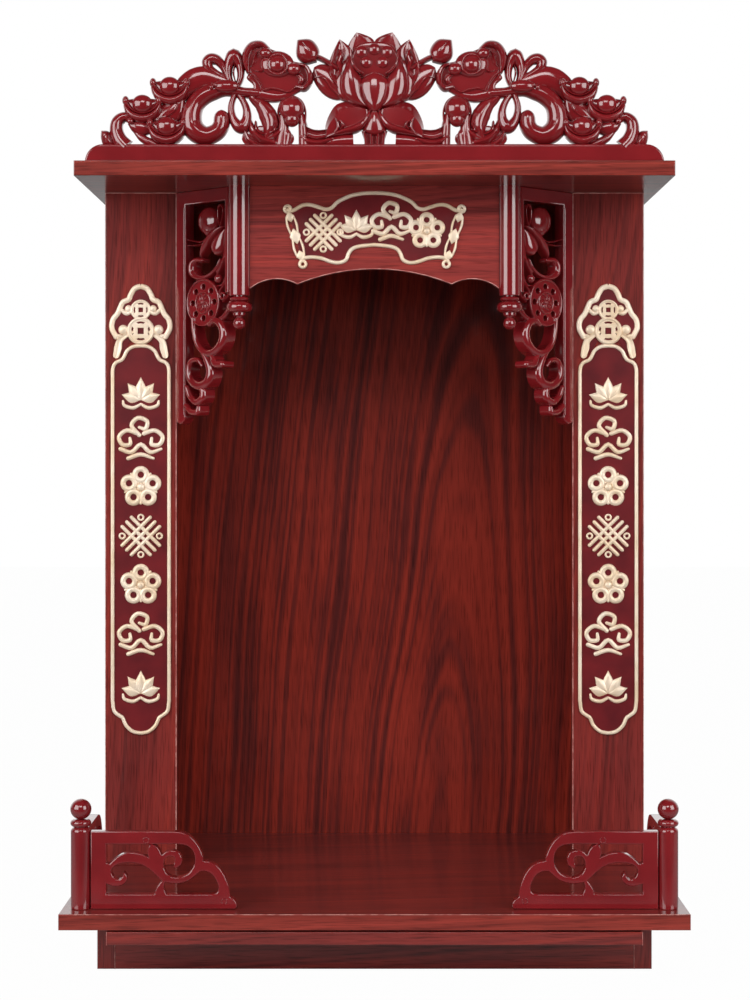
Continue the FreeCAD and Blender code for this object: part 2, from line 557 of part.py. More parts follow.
def bracket_drawing():
    """The bracket seen square on: across from the pillar to the post, heights from the top board."""
    thick = value("sizes.bracket_thickness")
    bar, drop = value("sizes.bracket_bar"), value("sizes.bracket_drop")
    length, size = bracket_length(), drop / BRACKET_DRAWN_DROP
    outer_bar, outer_drop, foot_bend = 6.0 * size, 88.0 * size, 5.0 * size
    inner_side = length - outer_bar
    frame_bar = Part.makePolygon([Vector(x, y, 0) for x, y in (
        (0, 0), (length, 0), (length, -outer_drop), (inner_side, -outer_drop), (inner_side, -bar),
        (bar, -bar), (bar, foot_bend - drop), (bar - foot_bend, -drop), (0, -drop), (0, 0))])
    medallion = disc((33.0, -94.8), value("sizes.medallion_diameter") / 2 / size)
    for step in range(8):
        turn = math.radians(45 * step)
        medallion = medallion.cut(disc((33.0 + 13.2 * math.cos(turn), -94.8 + 13.2 * math.sin(turn)), 2.4))
    carved = [
        (medallion, 0.9),
        (disc((35.5, -26.0), 12.0), 1.0),
        (band([(35.5, -32.0), (35.0, -45.0)], [9.0, 4.0]), 0.9),
        (loop([(52.0, -34.0), (49.6, -22.0), (51.4, -14.6), (54.4, -12.4), (57.6, -14.8), (58.8, -22.0),
               (56.6, -34.0)], [(54.0, -28.0), (52.6, -21.0), (54.2, -16.4), (55.8, -21.0)]), 0.9),
        (band([(8.0, -41.4), (25.6, -44.4), (34.6, -43.8), (44.4, -38.6)], [2.8, 2.8]), 0.8),
        (band([(65.0, -31.0), (50.0, -37.4), (41.0, -42.6), (34.6, -49.0), (28.0, -58.0)],
              [5.0, 8.8, 9.4, 8.0, 6.0]), 1.0),
        (band([(60.4, -34.0), (60.0, -46.0), (58.6, -55.0), (55.0, -63.0), (46.0, -69.5)],
              [5.0, 6.0, 6.0, 5.4, 4.4]), 0.9),
        (band([(31.0, -57.0), (22.0, -56.6), (16.0, -62.0), (16.6, -69.0), (25.0, -74.2), (36.0, -73.2),
               (48.0, -68.0)], [5.0, 5.6, 6.2, 6.6, 5.6, 4.8, 4.0]), 1.0),
        (band([(62.6, -58.0), (60.2, -70.0), (55.4, -80.0), (47.8, -84.0)], [4.0, 4.6, 4.4, 3.4]), 0.9),
        (band([(66.4, -84.0), (62.0, -90.6), (54.0, -96.0), (46.0, -102.0)], [4.0, 4.4, 4.0, 4.4]), 0.9),
        (band([(22.4, -106.0), (21.6, -118.0), (25.2, -128.6), (33.0, -136.0), (44.0, -137.2), (54.0, -131.0),
               (57.4, -121.6), (53.6, -113.6), (45.4, -110.6), (39.0, -112.0)],
              [4.4, 4.8, 5.4, 6.0, 6.8, 8.0, 8.4, 7.4, 6.0, 4.6]), 1.15),
        (band([(27.0, -131.0), (33.6, -138.0), (39.0, -146.0), (41.4, -154.6), (37.0, -162.4), (27.0, -164.4),
               (17.6, -160.0), (14.2, -151.4), (17.4, -143.6), (26.4, -142.6)],
              [4.4, 5.6, 7.4, 8.8, 9.0, 8.4, 7.2, 6.6, 5.8, 4.4]), 1.15),
        (band([(42.0, -139.4), (48.0, -146.6), (56.4, -147.4)], [5.0, 7.0, 6.4]), 1.15),
        (band([(12.0, -165.0), (17.4, -174.0), (25.0, -178.4), (32.4, -174.6), (32.0, -167.6), (25.0, -165.0)],
              [6.0, 6.0, 6.8, 7.2, 6.0, 4.6]), 1.15),
        (band([(10.4, -181.4), (18.0, -186.2), (26.0, -187.0), (27.6, -183.0)], [6.0, 6.0, 6.0, 4.6]), 1.15),
    ]
    solids = [raised(Part.Face(frame_bar), thick)]
    solids += [raised(scaled(shape, size), share * thick) for shape, share in carved]
    return joined(solids)


def bracket_length():
    """From the pillar's inner edge, mid-thickness, to the hanging post's axis."""
    run_x = value(f"{PILLAR_INNER} - sizes.pendant_spacing / 2")
    run_y = value("sizes.pillar_setback + sizes.board / 2 - sizes.pendant_setback")
    return math.hypot(run_x, run_y)


def add_brackets():
    """Brackets: trimmed to the pillar board's inner edge and round the hanging post."""
    run_x = value(f"{PILLAR_INNER} - sizes.pendant_spacing / 2")
    run_y = value("sizes.pillar_setback + sizes.board / 2 - sizes.pendant_setback")
    turn = math.degrees(math.atan2(run_y, run_x))
    thick = value("sizes.bracket_thickness")
    x, y, z = value(PILLAR_INNER), value(f"{PILLAR_FACE} + sizes.board / 2"), value(TOP_UNDER)
    drawing = bracket_drawing()
    drawing.translate(Vector(0, 0, -thick / 2))
    # Right side: the drawing's s axis points from the pillar to the post, down the diagonal
    stand = Placement(Vector(x, y, z), Rotation(Vector(0, 0, 1), 180 + turn) * Rotation(Vector(1, 0, 0), 90))
    right = drawing.copy()
    right.Placement = stand
    reach = value("sizes.bracket_drop + sizes.board")
    beyond = Part.makeBox(reach, reach, 2 * reach, Vector(x, y - reach / 2, z - 1.5 * reach))
    pole = Part.makeCylinder(value("sizes.pole_diameter / 2"), reach,
                             Vector(value("sizes.pendant_spacing / 2"), value(PENDANT_Y), z - reach))
    right = right.cut(beyond).cut(pole)
    for side, shape in (("right", right), ("left", mirrored(right))):
        piece = doc.addObject("Part::Feature", f"bracket_{side}_carving")
        piece.Shape = shape
        keep(piece, f"bracket_{side}")


FENCE_DRAWN = (120.4, 59.8)


def fence_drawing():
    """A corner fence seen square on: across from the post's axis, heights from the shelf."""
    thick = value("sizes.fence_thickness")
    across, up = value("sizes.fence_length") / FENCE_DRAWN[0], value("sizes.fence_height") / FENCE_DRAWN[1]

    def drawn(*runs):
        return shape_of(*[[(x * across, y * up) for x, y in run] for run in runs])

    panel = drawn(
        [(0, 0), (0, 59.8)], [(0, 59.8), (71.8, 59.8)],
        [(71.8, 59.8), (79.8, 58.6), (86.3, 54.3), (91.3, 47.7), (94.2, 40.7), (94.6, 37.1)],
        [(94.6, 37.1), (99.9, 36.3), (106.4, 32.2), (111.4, 24.7), (114.4, 15.7), (115.2, 9.4)],
        [(115.2, 9.4), (118.9, 6.7), (120.4, 2.7), (119.2, 0)], [(119.2, 0), (0, 0)])
    openings = [
        # Between the top bar, the bud and the vine
        drawn([(20.0, 50.1), (53.5, 50.1)], [(53.5, 50.1), (52.3, 46.7), (51.9, 43.2), (52.5, 39.9)],
              [(52.5, 39.9), (43.3, 43.4), (37.2, 43.7), (31.2, 41.9), (26.2, 38.5), (22.4, 34.7)],
              [(22.4, 34.7), (20.0, 35.7)], [(20.0, 35.7), (20.0, 50.1)]),
        # Round the curled tongue
        drawn([(55.5, 50.1), (73.8, 50.3)],
              [(73.8, 50.3), (81.8, 48.9), (86.3, 45.2), (88.1, 39.7), (87.3, 33.7), (83.3, 27.7), (76.8, 24.7),
               (70.8, 24.9), (66.3, 27.7), (64.1, 32.2)],
              [(64.1, 32.2), (64.3, 36.7), (66.3, 39.9), (69.3, 40.9), (72.1, 39.5), (72.5, 36.7), (71.6, 34.2)],
              [(71.6, 34.2), (72.5, 31.7), (74.8, 32.1)],
              [(74.8, 32.1), (77.5, 34.7), (78.1, 39.1), (75.8, 43.5), (71.3, 45.2), (66.3, 44.4), (62.5, 41.7)],
              [(62.5, 41.7), (60.8, 45.7), (58.3, 48.5), (55.5, 50.1)]),
        # Under the vine, round the small hook
        drawn([(23.7, 30.2), (31.2, 35.2), (37.2, 35.9), (43.3, 35.2), (49.3, 33.2), (54.8, 29.4), (60.3, 24.0)],
              [(60.3, 24.0), (62.8, 22.2)], [(62.8, 22.2), (59.8, 18.5), (57.0, 11.5)],
              [(57.0, 11.5), (20.0, 11.5)], [(20.0, 11.5), (20.0, 19.7)],
              [(20.0, 19.7), (26.2, 17.7), (31.7, 18.5), (35.4, 21.5), (36.0, 25.2), (33.4, 28.7)],
              [(33.4, 28.7), (32.4, 25.2), (29.7, 22.7), (26.4, 24.0), (24.4, 26.9), (23.7, 30.2)]),
        # Inside the lower arc
        drawn([(65.1, 20.9), (64.3, 16.7), (66.1, 11.5)], [(66.1, 11.5), (100.4, 11.5)],
              [(100.4, 11.5), (104.6, 12.5), (106.2, 15.7), (105.4, 20.2), (101.9, 26.2), (96.9, 29.1),
               (92.4, 29.3)],
              [(92.4, 29.3), (88.3, 25.9), (83.3, 22.2), (76.3, 20.0), (70.3, 19.9), (65.1, 20.9)]),
    ]
    return raised(panel, thick).cut([raised(opening, 2 * thick, -thick) for opening in openings])


def add_fences():
    """Front and side fences at each corner post, hollowed to seat on the round post."""
    thick = value("sizes.fence_thickness")
    post_x, post_y = value("sizes.post_spacing / 2"), value(f"{FRONT} + sizes.post_setback")
    level = value(SHELF_TOP)
    drawing = fence_drawing()
    drawing.translate(Vector(0, 0, -thick / 2))
    post = Part.makeCylinder(value("sizes.post_diameter / 2"), value("sizes.post_height"),
                             Vector(-post_x, post_y, level))
    for name, turn in (("fence_front", 0), ("fence_side", 90)):
        panel = drawing.copy()
        panel.Placement = facing_front(-post_x, post_y, level, turn)
        left = panel.cut(post)
        for side, shape in (("left", left), ("right", mirrored(left))):
            piece = doc.addObject("Part::Feature", f"{name}_{side}_carving")
            piece.Shape = shape
            keep(piece, f"{name}_{side}")


GILT_DRAWN_WIDTH = 50.0


def gilt_frame():
    """The gilt frame on a pillar board, middle line at zero, heights from the top board."""
    bar, thick = value("sizes.gilt_bar"), value("sizes.gilt_thickness")
    top, foot = -value("sizes.gilt_top"), -value("sizes.gilt_top + sizes.gilt_length")
    size = value("sizes.gilt_width") / GILT_DRAWN_WIDTH

    def strip(points, level, widths):
        drawn = [(x * size, level + y * size) for x, y in points]
        return band(drawn, [width * size for width in widths])

    # The arch and its mirror at the foot: half of each, heights from its tip
    arch = [(0, 0), (6.5, -0.8), (11.6, -4.2), (14.4, -9.6), (16.6, -12.2), (21.4, -14.6), (23.6, -19.6),
            (23.6, -30.0)]
    shapes = []
    for level, way in ((top - bar / 2, 1), (foot + bar / 2, -1)):
        half = [(x, way * y) for x, y in arch]
        shapes.append(strip([(-x, y) for x, y in half[:0:-1]] + half, level, [bar / size] * 2))
    for sign in (-1, 1):
        side, tall = sign * 23.6 * size, 29.0 * size
        shapes.append(band([(side, top - tall), (side, (top + foot) / 2), (side, foot + tall)], [bar, bar]))
        tail = [(sign * x, y) for x, y in ((7.0, 12.4), (13.6, 8.0), (18.0, 4.0), (19.4, -2.0), (20.8, -8.0))]
        shapes.append(strip(tail, top, [3.4, 4.2, 5.4, 6.8, 5.6]))
    # The cloud over the arch, with two strung coins
    cloud = [(0, 50.6), (5.2, 48.6), (10.4, 39.4), (15.2, 37.0), (20.0, 27.0), (23.8, 22.0), (24.2, 14.0),
             (19.0, 9.6)]
    shapes.append(strip([(-x, y) for x, y in cloud[:0:-1]] + cloud, top, [3.8, 3.8]))
    shapes += [scaled(disc((0, top / size + up), radius), size) for up, radius in ((30.4, 8.8), (12.6, 11.6))]
    return joined([raised(shape, thick) for shape in shapes])


def add_gilt_frames():
    thick = value("sizes.gilt_thickness")
    centre = value("sizes.cabinet_width / 2 - sizes.pillar_width / 2")
    shape = gilt_frame()
    for side, sign in (("left", -1), ("right", 1)):
        moulding(f"gilt_frame_{side}", shape.copy(),
                 facing_front(sign * centre, value(PILLAR_FACE), value(TOP_UNDER)))


add_boards()
add_back_panel()
add_turned_posts()
add_crest()
add_lintel()
add_brackets()
add_fences()
add_gilt_frames()
doc.recompute()

for item in doc.Objects:
    bad = [state for state in item.State if state in ("Invalid", "Error")]
    if bad:
        raise RuntimeError(f"{item.Label} failed: {bad}")
for piece in kept:
    if piece.Shape.isNull() or not piece.Shape.isValid():
        raise RuntimeError(f"{piece.Label} has no valid shape")

os.makedirs("parts", exist_ok=True)
for piece in kept:
    piece.Shape.exportStep(f"parts/{piece.Label}.step")
    print(piece.Label, len(piece.Shape.Solids), round(piece.Shape.Volume))
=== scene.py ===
import math

import bpy
from mathutils import Matrix, Vector


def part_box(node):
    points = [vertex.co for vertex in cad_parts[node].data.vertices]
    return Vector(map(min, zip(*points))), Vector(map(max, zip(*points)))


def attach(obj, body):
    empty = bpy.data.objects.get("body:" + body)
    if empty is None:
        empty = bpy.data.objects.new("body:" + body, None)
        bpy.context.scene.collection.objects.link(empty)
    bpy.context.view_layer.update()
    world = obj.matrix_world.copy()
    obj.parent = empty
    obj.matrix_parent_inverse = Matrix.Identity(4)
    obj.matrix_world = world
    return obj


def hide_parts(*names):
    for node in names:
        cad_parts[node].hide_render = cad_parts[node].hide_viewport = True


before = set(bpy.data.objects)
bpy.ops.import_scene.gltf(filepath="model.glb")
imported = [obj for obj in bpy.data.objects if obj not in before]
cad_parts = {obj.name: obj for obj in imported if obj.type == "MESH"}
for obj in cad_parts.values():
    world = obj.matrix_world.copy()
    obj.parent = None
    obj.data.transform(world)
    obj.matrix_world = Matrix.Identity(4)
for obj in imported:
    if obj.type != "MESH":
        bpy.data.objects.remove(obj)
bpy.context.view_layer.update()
MM = 0.001


def linear(colour):
    """An sRGB hex colour as the linear colour that shaders take."""
    shares = [int(colour[at:at + 2], 16) / 255 for at in (1, 3, 5)]
    return [share / 12.92 if share <= 0.04045 else ((share + 0.055) / 1.055) ** 2.4 for share in shares] + [1.0]


def plug(tree, node, inputs):
    """Link a node's inputs to sockets or set them to values."""
    for key, value in inputs.items():
        if isinstance(value, bpy.types.NodeSocket):
            tree.links.new(value, node.inputs[key])
        else:
            node.inputs[key].default_value = value


def add(tree, kind, inputs=(), **settings):
    """One node with its settings and inputs."""
    new = tree.nodes.new(kind)
    for name, value in settings.items():
        setattr(new, name, value)
    plug(tree, new, dict(inputs))
    return new


def noise(tree, vector, scale, detail, roughness=0.5):
    """The value of a noise texture."""
    return add(tree, "ShaderNodeTexNoise", {"Vector": vector, "Scale": scale, "Detail": detail,
                                            "Roughness": roughness}).outputs[0]


def bumped(tree, height, strength, distance):
    """The normals of a faint relief."""
    return add(tree, "ShaderNodeBump", {"Height": height, "Strength": strength,
                                        "Distance": distance}).outputs[0]


def ramp(tree, factor, stops):
    """A colour ramp with its stops, each a place and a hex colour."""
    new = add(tree, "ShaderNodeValToRGB", {"Fac": factor})
    elements = new.color_ramp.elements
    while len(elements) < len(stops):
        elements.new(0.5)
    for element, (place, colour) in zip(elements, stops):
        element.position = place
        element.color = linear(colour)
    return new.outputs["Color"]


def new_material(name):
    material = bpy.data.materials.new(name)
    material.use_nodes = True
    shader = material.node_tree.nodes["Principled BSDF"]
    return material, material.node_tree, shader


def laminate(name, grain, heart, wander, tones):
    """Rosewood-print laminate on board: a printed grain under a clear, hard, glossy film.

    The figure is a plank's: growth rings round a heart that leans through the board, so that they
    show as tall arches beside the heart and as straight lines away from it. Grain is the axis that it
    runs along, heart is its place across the board and its depth behind the face, and wander is how far
    the rings stray, in metres.
    """
    material, tree, shader = new_material(name)
    place = add(tree, "ShaderNodeTexCoord").outputs["Object"]
    parts = add(tree, "ShaderNodeSeparateXYZ", {0: place})
    first, second, along = (("Y", "Z", "X") if grain == "x" else ("X", "Y", "Z"))
    across = add(tree, "ShaderNodeMath", {0: parts.outputs[first], 1: parts.outputs[second]}, operation="ADD")
    sheet = add(tree, "ShaderNodeCombineXYZ", {"X": across.outputs[0], "Y": parts.outputs[along]})
    stray = add(tree, "ShaderNodeMapping", {"Vector": sheet.outputs[0], "Scale": (7.0, 2.6, 1.0),
                                            "Location": (heart[0] * 7, heart[1] * 31, 0.4)})
    drift = add(tree, "ShaderNodeTexNoise", {"Vector": stray.outputs[0], "Scale": 1.0, "Detail": 1.5,
                                             "Roughness": 0.45})
    shifts = add(tree, "ShaderNodeVectorMath", {0: drift.outputs["Color"], 1: (2 * wander, 2 * wander, 0.0),
                                                2: (-heart[0] - wander, heart[1] - wander, 0.0)},
                 operation="MULTIPLY_ADD")
    # The heart leans 1 in 12
    lean = add(tree, "ShaderNodeMath", {0: parts.outputs[along], 1: 0.085}, operation="MULTIPLY")
    # The grain itself runs 1 in 15 out of true
    slant = add(tree, "ShaderNodeMath", {0: parts.outputs[along], 1: -0.065, 2: across.outputs[0]},
                operation="MULTIPLY_ADD")
    spot = add(tree, "ShaderNodeCombineXYZ", {"X": slant.outputs[0], "Y": lean.outputs[0]})
    from_heart = add(tree, "ShaderNodeVectorMath", {0: spot.outputs[0], 1: shifts.outputs[0]}, operation="ADD")
    reach = add(tree, "ShaderNodeVectorMath", {0: from_heart.outputs[0]}, operation="LENGTH").outputs["Value"]
    # Rings some 10 mm apart with finer lines between, in broad bands 70 mm wide
    layers = []
    for step, detail in ((0.0046, 1.6), (0.035, 1.0)):
        count = add(tree, "ShaderNodeMath", {0: reach, 1: 1 / step}, operation="MULTIPLY")
        layers.append(add(tree, "ShaderNodeTexNoise", {"W": count.outputs[0], "Scale": 1.0, "Detail": detail},
                          noise_dimensions="1D").outputs[0])
    # Stains 30 mm wide and 200 mm long break the rings; pores run 25 mm and are drawn 1 mm wide to show
    blot_map, pore_map = [
        add(tree, "ShaderNodeMapping", {"Vector": sheet.outputs[0], "Scale": scale}).outputs[0]
        for scale in ((34.0, 5.0, 1.0), (1 / 0.0009, 1 / 0.025, 1.0))]
    layers.append(noise(tree, blot_map, 1.0, 3.0, 0.55))
    pores = noise(tree, pore_map, 1.0, 1.0)
    tone = 0.0
    for layer, weight in zip(layers, (0.35, 0.28, 0.37)):
        tone = add(tree, "ShaderNodeMath", {0: layer, 1: weight, 2: tone}, operation="MULTIPLY_ADD").outputs[0]
    print_colour = ramp(tree, tone, tones)
    pore_colour = ramp(tree, pores, ((0.34, "#c4bab8"), (0.48, "#ffffff")))
    colour = add(tree, "ShaderNodeMix", {"Factor": 0.8, 6: print_colour, 7: pore_colour},
                 data_type="RGBA", blend_type="MULTIPLY").outputs[2]
    # The film is flat but not quite: long low waves show where it mirrors the room
    ripple = bumped(tree, noise(tree, place, 9.0, 1.0), 0.02, 0.01)
    plug(tree, shader, {"Base Color": colour, "Normal": ripple, "Coat Normal": ripple, "Roughness": 0.3,
                        "Specular IOR Level": 0.2, "Coat Weight": 0.8, "Coat Roughness": 0.12})
    return material


def moulded_red():
    """Injection-moulded ABS in dark red, polished tool: an even colour under a sharp clear gloss."""
    material, tree, shader = new_material("moulded_abs_dark_red")
    place = add(tree, "ShaderNodeTexCoord").outputs["Object"]
    # Slow flow marks 30 mm apart shade the colour, and faint sink marks move the gloss
    flow = ramp(tree, noise(tree, place, 33.0, 2.0), ((0.3, "#74161b"), (0.7, "#831b20")))
    sink = bumped(tree, noise(tree, place, 60.0, 1.0), 0.03, 0.004)
    plug(tree, shader, {"Base Color": flow, "Normal": sink, "Roughness": 0.14, "IOR": 1.54,
                        "Coat Weight": 1.0, "Coat Roughness": 0.05})
    return material


def pale_gold():
    """Champagne-gold lacquer sprayed on moulded ABS: fine metal flake, satin, pale."""
    material, tree, shader = new_material("champagne_gold_lacquer")
    place = add(tree, "ShaderNodeTexCoord").outputs["Object"]
    # Flake about 0.4 mm apart, drawn coarser than it is so that it shows
    flake = bumped(tree, noise(tree, place, 2500.0, 1.0), 0.25, 0.0004)
    colour = ramp(tree, noise(tree, place, 45.0, 2.0), ((0.35, "#ead0b0"), (0.65, "#f8e5cf")))
    plug(tree, shader, {"Base Color": colour, "Normal": flake, "Metallic": 0.25, "Roughness": 0.34})
    return material


def red_field():
    """The moulded red panel that the gilt work stands on: the same plastic with a satin face."""
    material, tree, shader = new_material("satin_abs_dark_red")
    place = add(tree, "ShaderNodeTexCoord").outputs["Object"]
    mottle = ramp(tree, noise(tree, place, 50.0, 2.0), ((0.3, "#5a151b"), (0.7, "#701b20")))
    plug(tree, shader, {"Base Color": mottle, "Roughness": 0.28})
    return material


def edge_highlight_material():
    """A painted highlight along the boards' eased edges, partly the laminate's pale paper core: a fine pale
    line, broken where the stain covers it.
    """
    material, tree, shader = new_material("laminate_edge_highlight_and_core")
    place = add(tree, "ShaderNodeTexCoord").outputs["Object"]
    breaks = ramp(tree, noise(tree, place, 160.0, 2.0), ((0.40, "#9f544f"), (0.60, "#c08880")))
    plug(tree, shader, {"Base Color": breaks, "Roughness": 0.5})
    return material


def bare_board():
    """Unfinished particle board: pressed chips, pale and matt, on edges and backs that nobody sees."""
    material, tree, shader = new_material("bare_particle_board")
    place = add(tree, "ShaderNodeTexCoord").outputs["Object"]
    chips = add(tree, "ShaderNodeTexVoronoi", {"Vector": place, "Scale": 420.0})
    colour = ramp(tree, chips.outputs["Color"], ((0.1, "#8c6a48"), (0.5, "#b18f68"), (0.9, "#cbb08a")))
    grit = bumped(tree, chips.outputs["Distance"], 0.4, 0.0006)
    plug(tree, shader, {"Base Color": colour, "Normal": grit, "Roughness": 0.85})
    return material


BACK_TONES = ((0.36, "#521c1a"), (0.45, "#68221d"), (0.53, "#86291e"), (0.62, "#952f22"))
FRONT_TONES = ((0.36, "#5e2220"), (0.45, "#702724"), (0.54, "#7e2c28"), (0.64, "#8c3029"))
# The arched board's tones are lighter than the uprights': painted light, for the brighter light and sheen that
# fall high on the front
PAINTED_LIGHTER_HEAD_TONES = ((0.36, "#6a2625"), (0.45, "#7e2d2b"), (0.54, "#8e3531"), (0.64, "#a83c35"))
EDGE_TONES = ((0.36, "#5b1c18"), (0.45, "#762720"), (0.54, "#883027"), (0.64, "#9b382e"))
PANEL_WOOD = laminate("rosewood_laminate_back", "z", (0.228, 0.02), 0.016, BACK_TONES)
UPRIGHT_WOOD = laminate("rosewood_laminate_upright", "z", (0.31, 0.04), 0.03, FRONT_TONES)
LEVEL_WOOD = laminate("rosewood_laminate_level", "x", (0.26, 0.06), 0.02, FRONT_TONES)
PAINTED_LIGHTER_HEAD_WOOD = laminate("rosewood_laminate_arch_painted_lighter", "x", (0.50, 0.02), 0.03, PAINTED_LIGHTER_HEAD_TONES)
EDGE_WOOD = laminate("rosewood_edge_band", "x", (0.90, 0.03), 0.02, EDGE_TONES)
RED = moulded_red()
GOLD = pale_gold()
FIELD = red_field()
EDGE_HIGHLIGHT_AND_CORE = edge_highlight_material()
BARE = bare_board()

WOOD_OF = {
    "back_panel": PANEL_WOOD, "lintel_board": PAINTED_LIGHTER_HEAD_WOOD, "shelf_board": LEVEL_WOOD, "top_board": EDGE_WOOD,
    "offering_tray": LEVEL_WOOD, "base_front": LEVEL_WOOD, "base_back": BARE,
    "tray_runner_left": BARE, "tray_runner_right": BARE,
}


def dress_boards():
    """The CAD boards keep their shape and get their finish."""
    for name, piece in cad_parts.items():
        piece.data.materials.clear()
        piece.data.materials.append(WOOD_OF.get(name, UPRIGHT_WOOD))


def edge_line(start, end, width):
    """One fine strip along a board's edge, from corner to corner."""
    deselect()
    bpy.ops.mesh.primitive_cube_add(size=1)
    line = bpy.context.object
    bpy.ops.object.mode_set(mode="EDIT")
    bpy.ops.transform.resize(value=[max(abs(b - a), width) for a, b in zip(start, end)])
    bpy.ops.transform.translate(value=[(a + b) / 2 for a, b in zip(start, end)])
    bpy.ops.object.mode_set(mode="OBJECT")
    return line


def make_edge_lines():
    """Fine pale lines along the front edges of the boards: painted highlights on their eased edges, partly the
    laminate's paper core.
    """
    wide, fine, proud = 0.8 * MM, 0.5 * MM, 0.1 * MM
    lines = []
    for side, inner in (("left", 1), ("right", 0)):
        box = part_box(f"pillar_board_{side}")
        y = box[0].y
        for corner, width in ((inner, wide), (1 - inner, fine)):
            x = box[corner].x + (1 if corner == 0 else -1) * (width / 2 - proud)
            lines.append(edge_line((x, y, box[0].z), (x, y, box[1].z), width))
        lines.append(edge_line((box[0].x, y, box[1].z - fine / 2), (box[1].x, y, box[1].z - fine / 2), fine))
    low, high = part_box("shelf_board")
    lines.append(edge_line((low.x, low.y + fine / 2, high.z), (high.x, low.y + fine / 2, high.z), fine))
    low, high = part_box("base_front")
    for x in (low.x, high.x):
        lines.append(edge_line((x, low.y, low.z), (x, low.y, high.z), fine))
    edges = joined(lines, "laminate_edge_highlight_lines")
    finish(edges, EDGE_HIGHLIGHT_AND_CORE)
    # The shelf's front has its own strip of edge band, just as proud
    low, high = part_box("shelf_board")
    band, bare = 0.4 * MM, 0.3 * MM
    y = low.y + band / 2 - proud
    strip = edge_line((low.x, y, low.z + bare), (high.x, y, high.z - bare), band)
    finish(joined([strip], "shelf_edge_band"), EDGE_WOOD)


def arc_through(first, middle, last, steps=12):
    """Points along the arc through three points."""
    (ax, ay), (bx, by), (cx, cy) = first, middle, last
    twice = 2 * (ax * (by - cy) + bx * (cy - ay) + cx * (ay - by))
    squares = [x * x + y * y for x, y in (first, middle, last)]
    centre = Vector(((squares[0] * (by - cy) + squares[1] * (cy - ay) + squares[2] * (ay - by)) / twice,
                     (squares[0] * (cx - bx) + squares[1] * (ax - cx) + squares[2] * (bx - ax)) / twice))
    start, end = Vector(first) - centre, Vector(last) - centre
    return [tuple(centre + start.length * start.slerp(end, step / steps)) for step in range(steps + 1)]


def make_arch_line():
    """The same painted edge highlight: a fine line along the arched board's lower edge."""
    low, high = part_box("lintel_board")
    # Three arcs meet at two cusps; the line's middle runs 0.4 mm above the board's lower edge
    cusp, crown_drop, width = (64.0, -81.1), -68.6, 0.7
    end = ((high.x - low.x) / 2 / MM - 0.3, -84.6)
    side_run = [cusp, (83.6, -76.9), end]
    runs = [flipped(reversed(side_run), -1), [(-cusp[0], cusp[1]), (0, crown_drop), cusp], side_run]
    lines = []
    for run in runs:
        points = arc_through(*run)
        lines.append(strand(points, [width] * len(points), -0.2, 0.12, wall=0.9, steps=1, across=4,
                            blunt=(False, False)))
    line = joined(lines, "arch_edge_highlight_line")
    stand(line, 0, low.y, high.z)
    finish(line, EDGE_HIGHLIGHT_AND_CORE)


def make_tray_edge():
    """The same painted edge highlight at both ends of the tray's front."""
    low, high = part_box("offering_tray")
    ends = [edge_line((x, low.y, low.z), (x, low.y, high.z), 0.5 * MM) for x in (low.x, high.x)]
    lines = joined(ends, "tray_edge_highlight_lines")
    finish(lines, EDGE_HIGHLIGHT_AND_CORE, body="tray")


def deselect():
    bpy.ops.object.select_all(action="DESELECT")


def through(points):
    """A smooth line through a few points, as a function of a share from 0 to 1."""
    spots = [Vector((x, y)) for x, y in points]
    ends = [2 * spots[0] - spots[1]] + spots + [2 * spots[-1] - spots[-2]]

    def at(share):
        run = min(share * (len(spots) - 1), len(spots) - 1.000001)
        index = int(run)
        rest = run - index
        before, start, end, after = ends[index:index + 4]
        return 0.5 * (2 * start + (end - before) * rest + (2 * before - 5 * start + 4 * end - after) * rest ** 2
                      + (3 * start - before - 3 * end + after) * rest ** 3)

    return at


def between(values, share):
    """The value at a share of the way along a row of values."""
    run = min(share, 0.999999) * (len(values) - 1)
    index = int(run)
    return values[index] * (index + 1 - run) + values[index + 1] * (run - index)


def crown(across):
    """A plain rounded back, from edge to edge."""
    return math.sqrt(max(0.0, 1 - across ** 2))


def ridged(across):
    """A rounded back with a crest along its middle."""
    return 0.62 * crown(across) + 0.38 * (1 - abs(across)) ** 1.3


def dished(across):
    """A hollow between two rolled rims."""
    edge = abs(across)
    return crown((edge - 0.78) / 0.22) if edge > 0.78 else 0.35 + 0.65 * (edge / 0.78) ** 3


def shelving(across):
    """A flat face whose first third falls away in a plane."""
    return min(1.0, (1 + across) / 0.62)


def form(place_of, along, across):
    """A closed form: a flat grid is extruded once, then each of its points moves to its place."""
    deselect()
    bpy.ops.mesh.primitive_grid_add(x_subdivisions=along, y_subdivisions=across, size=2)
    piece = bpy.context.object
    bpy.ops.object.mode_set(mode="EDIT")
    bpy.ops.mesh.select_all(action="SELECT")
    bpy.ops.mesh.extrude_region_move(TRANSFORM_OT_translate={"value": (0, 0, 1)})
    bpy.ops.object.mode_set(mode="OBJECT")
    for vertex in piece.data.vertices:
        vertex.co = place_of((vertex.co.x + 1) / 2, -math.cos(math.pi * (vertex.co.y + 1) / 2),
                             vertex.co.z > 0.5)
    bpy.ops.object.mode_set(mode="EDIT")
    bpy.ops.mesh.select_all(action="SELECT")
    bpy.ops.mesh.remove_doubles(threshold=0.01)
    bpy.ops.mesh.normals_make_consistent(inside=False)
    bpy.ops.object.mode_set(mode="OBJECT")
    return piece


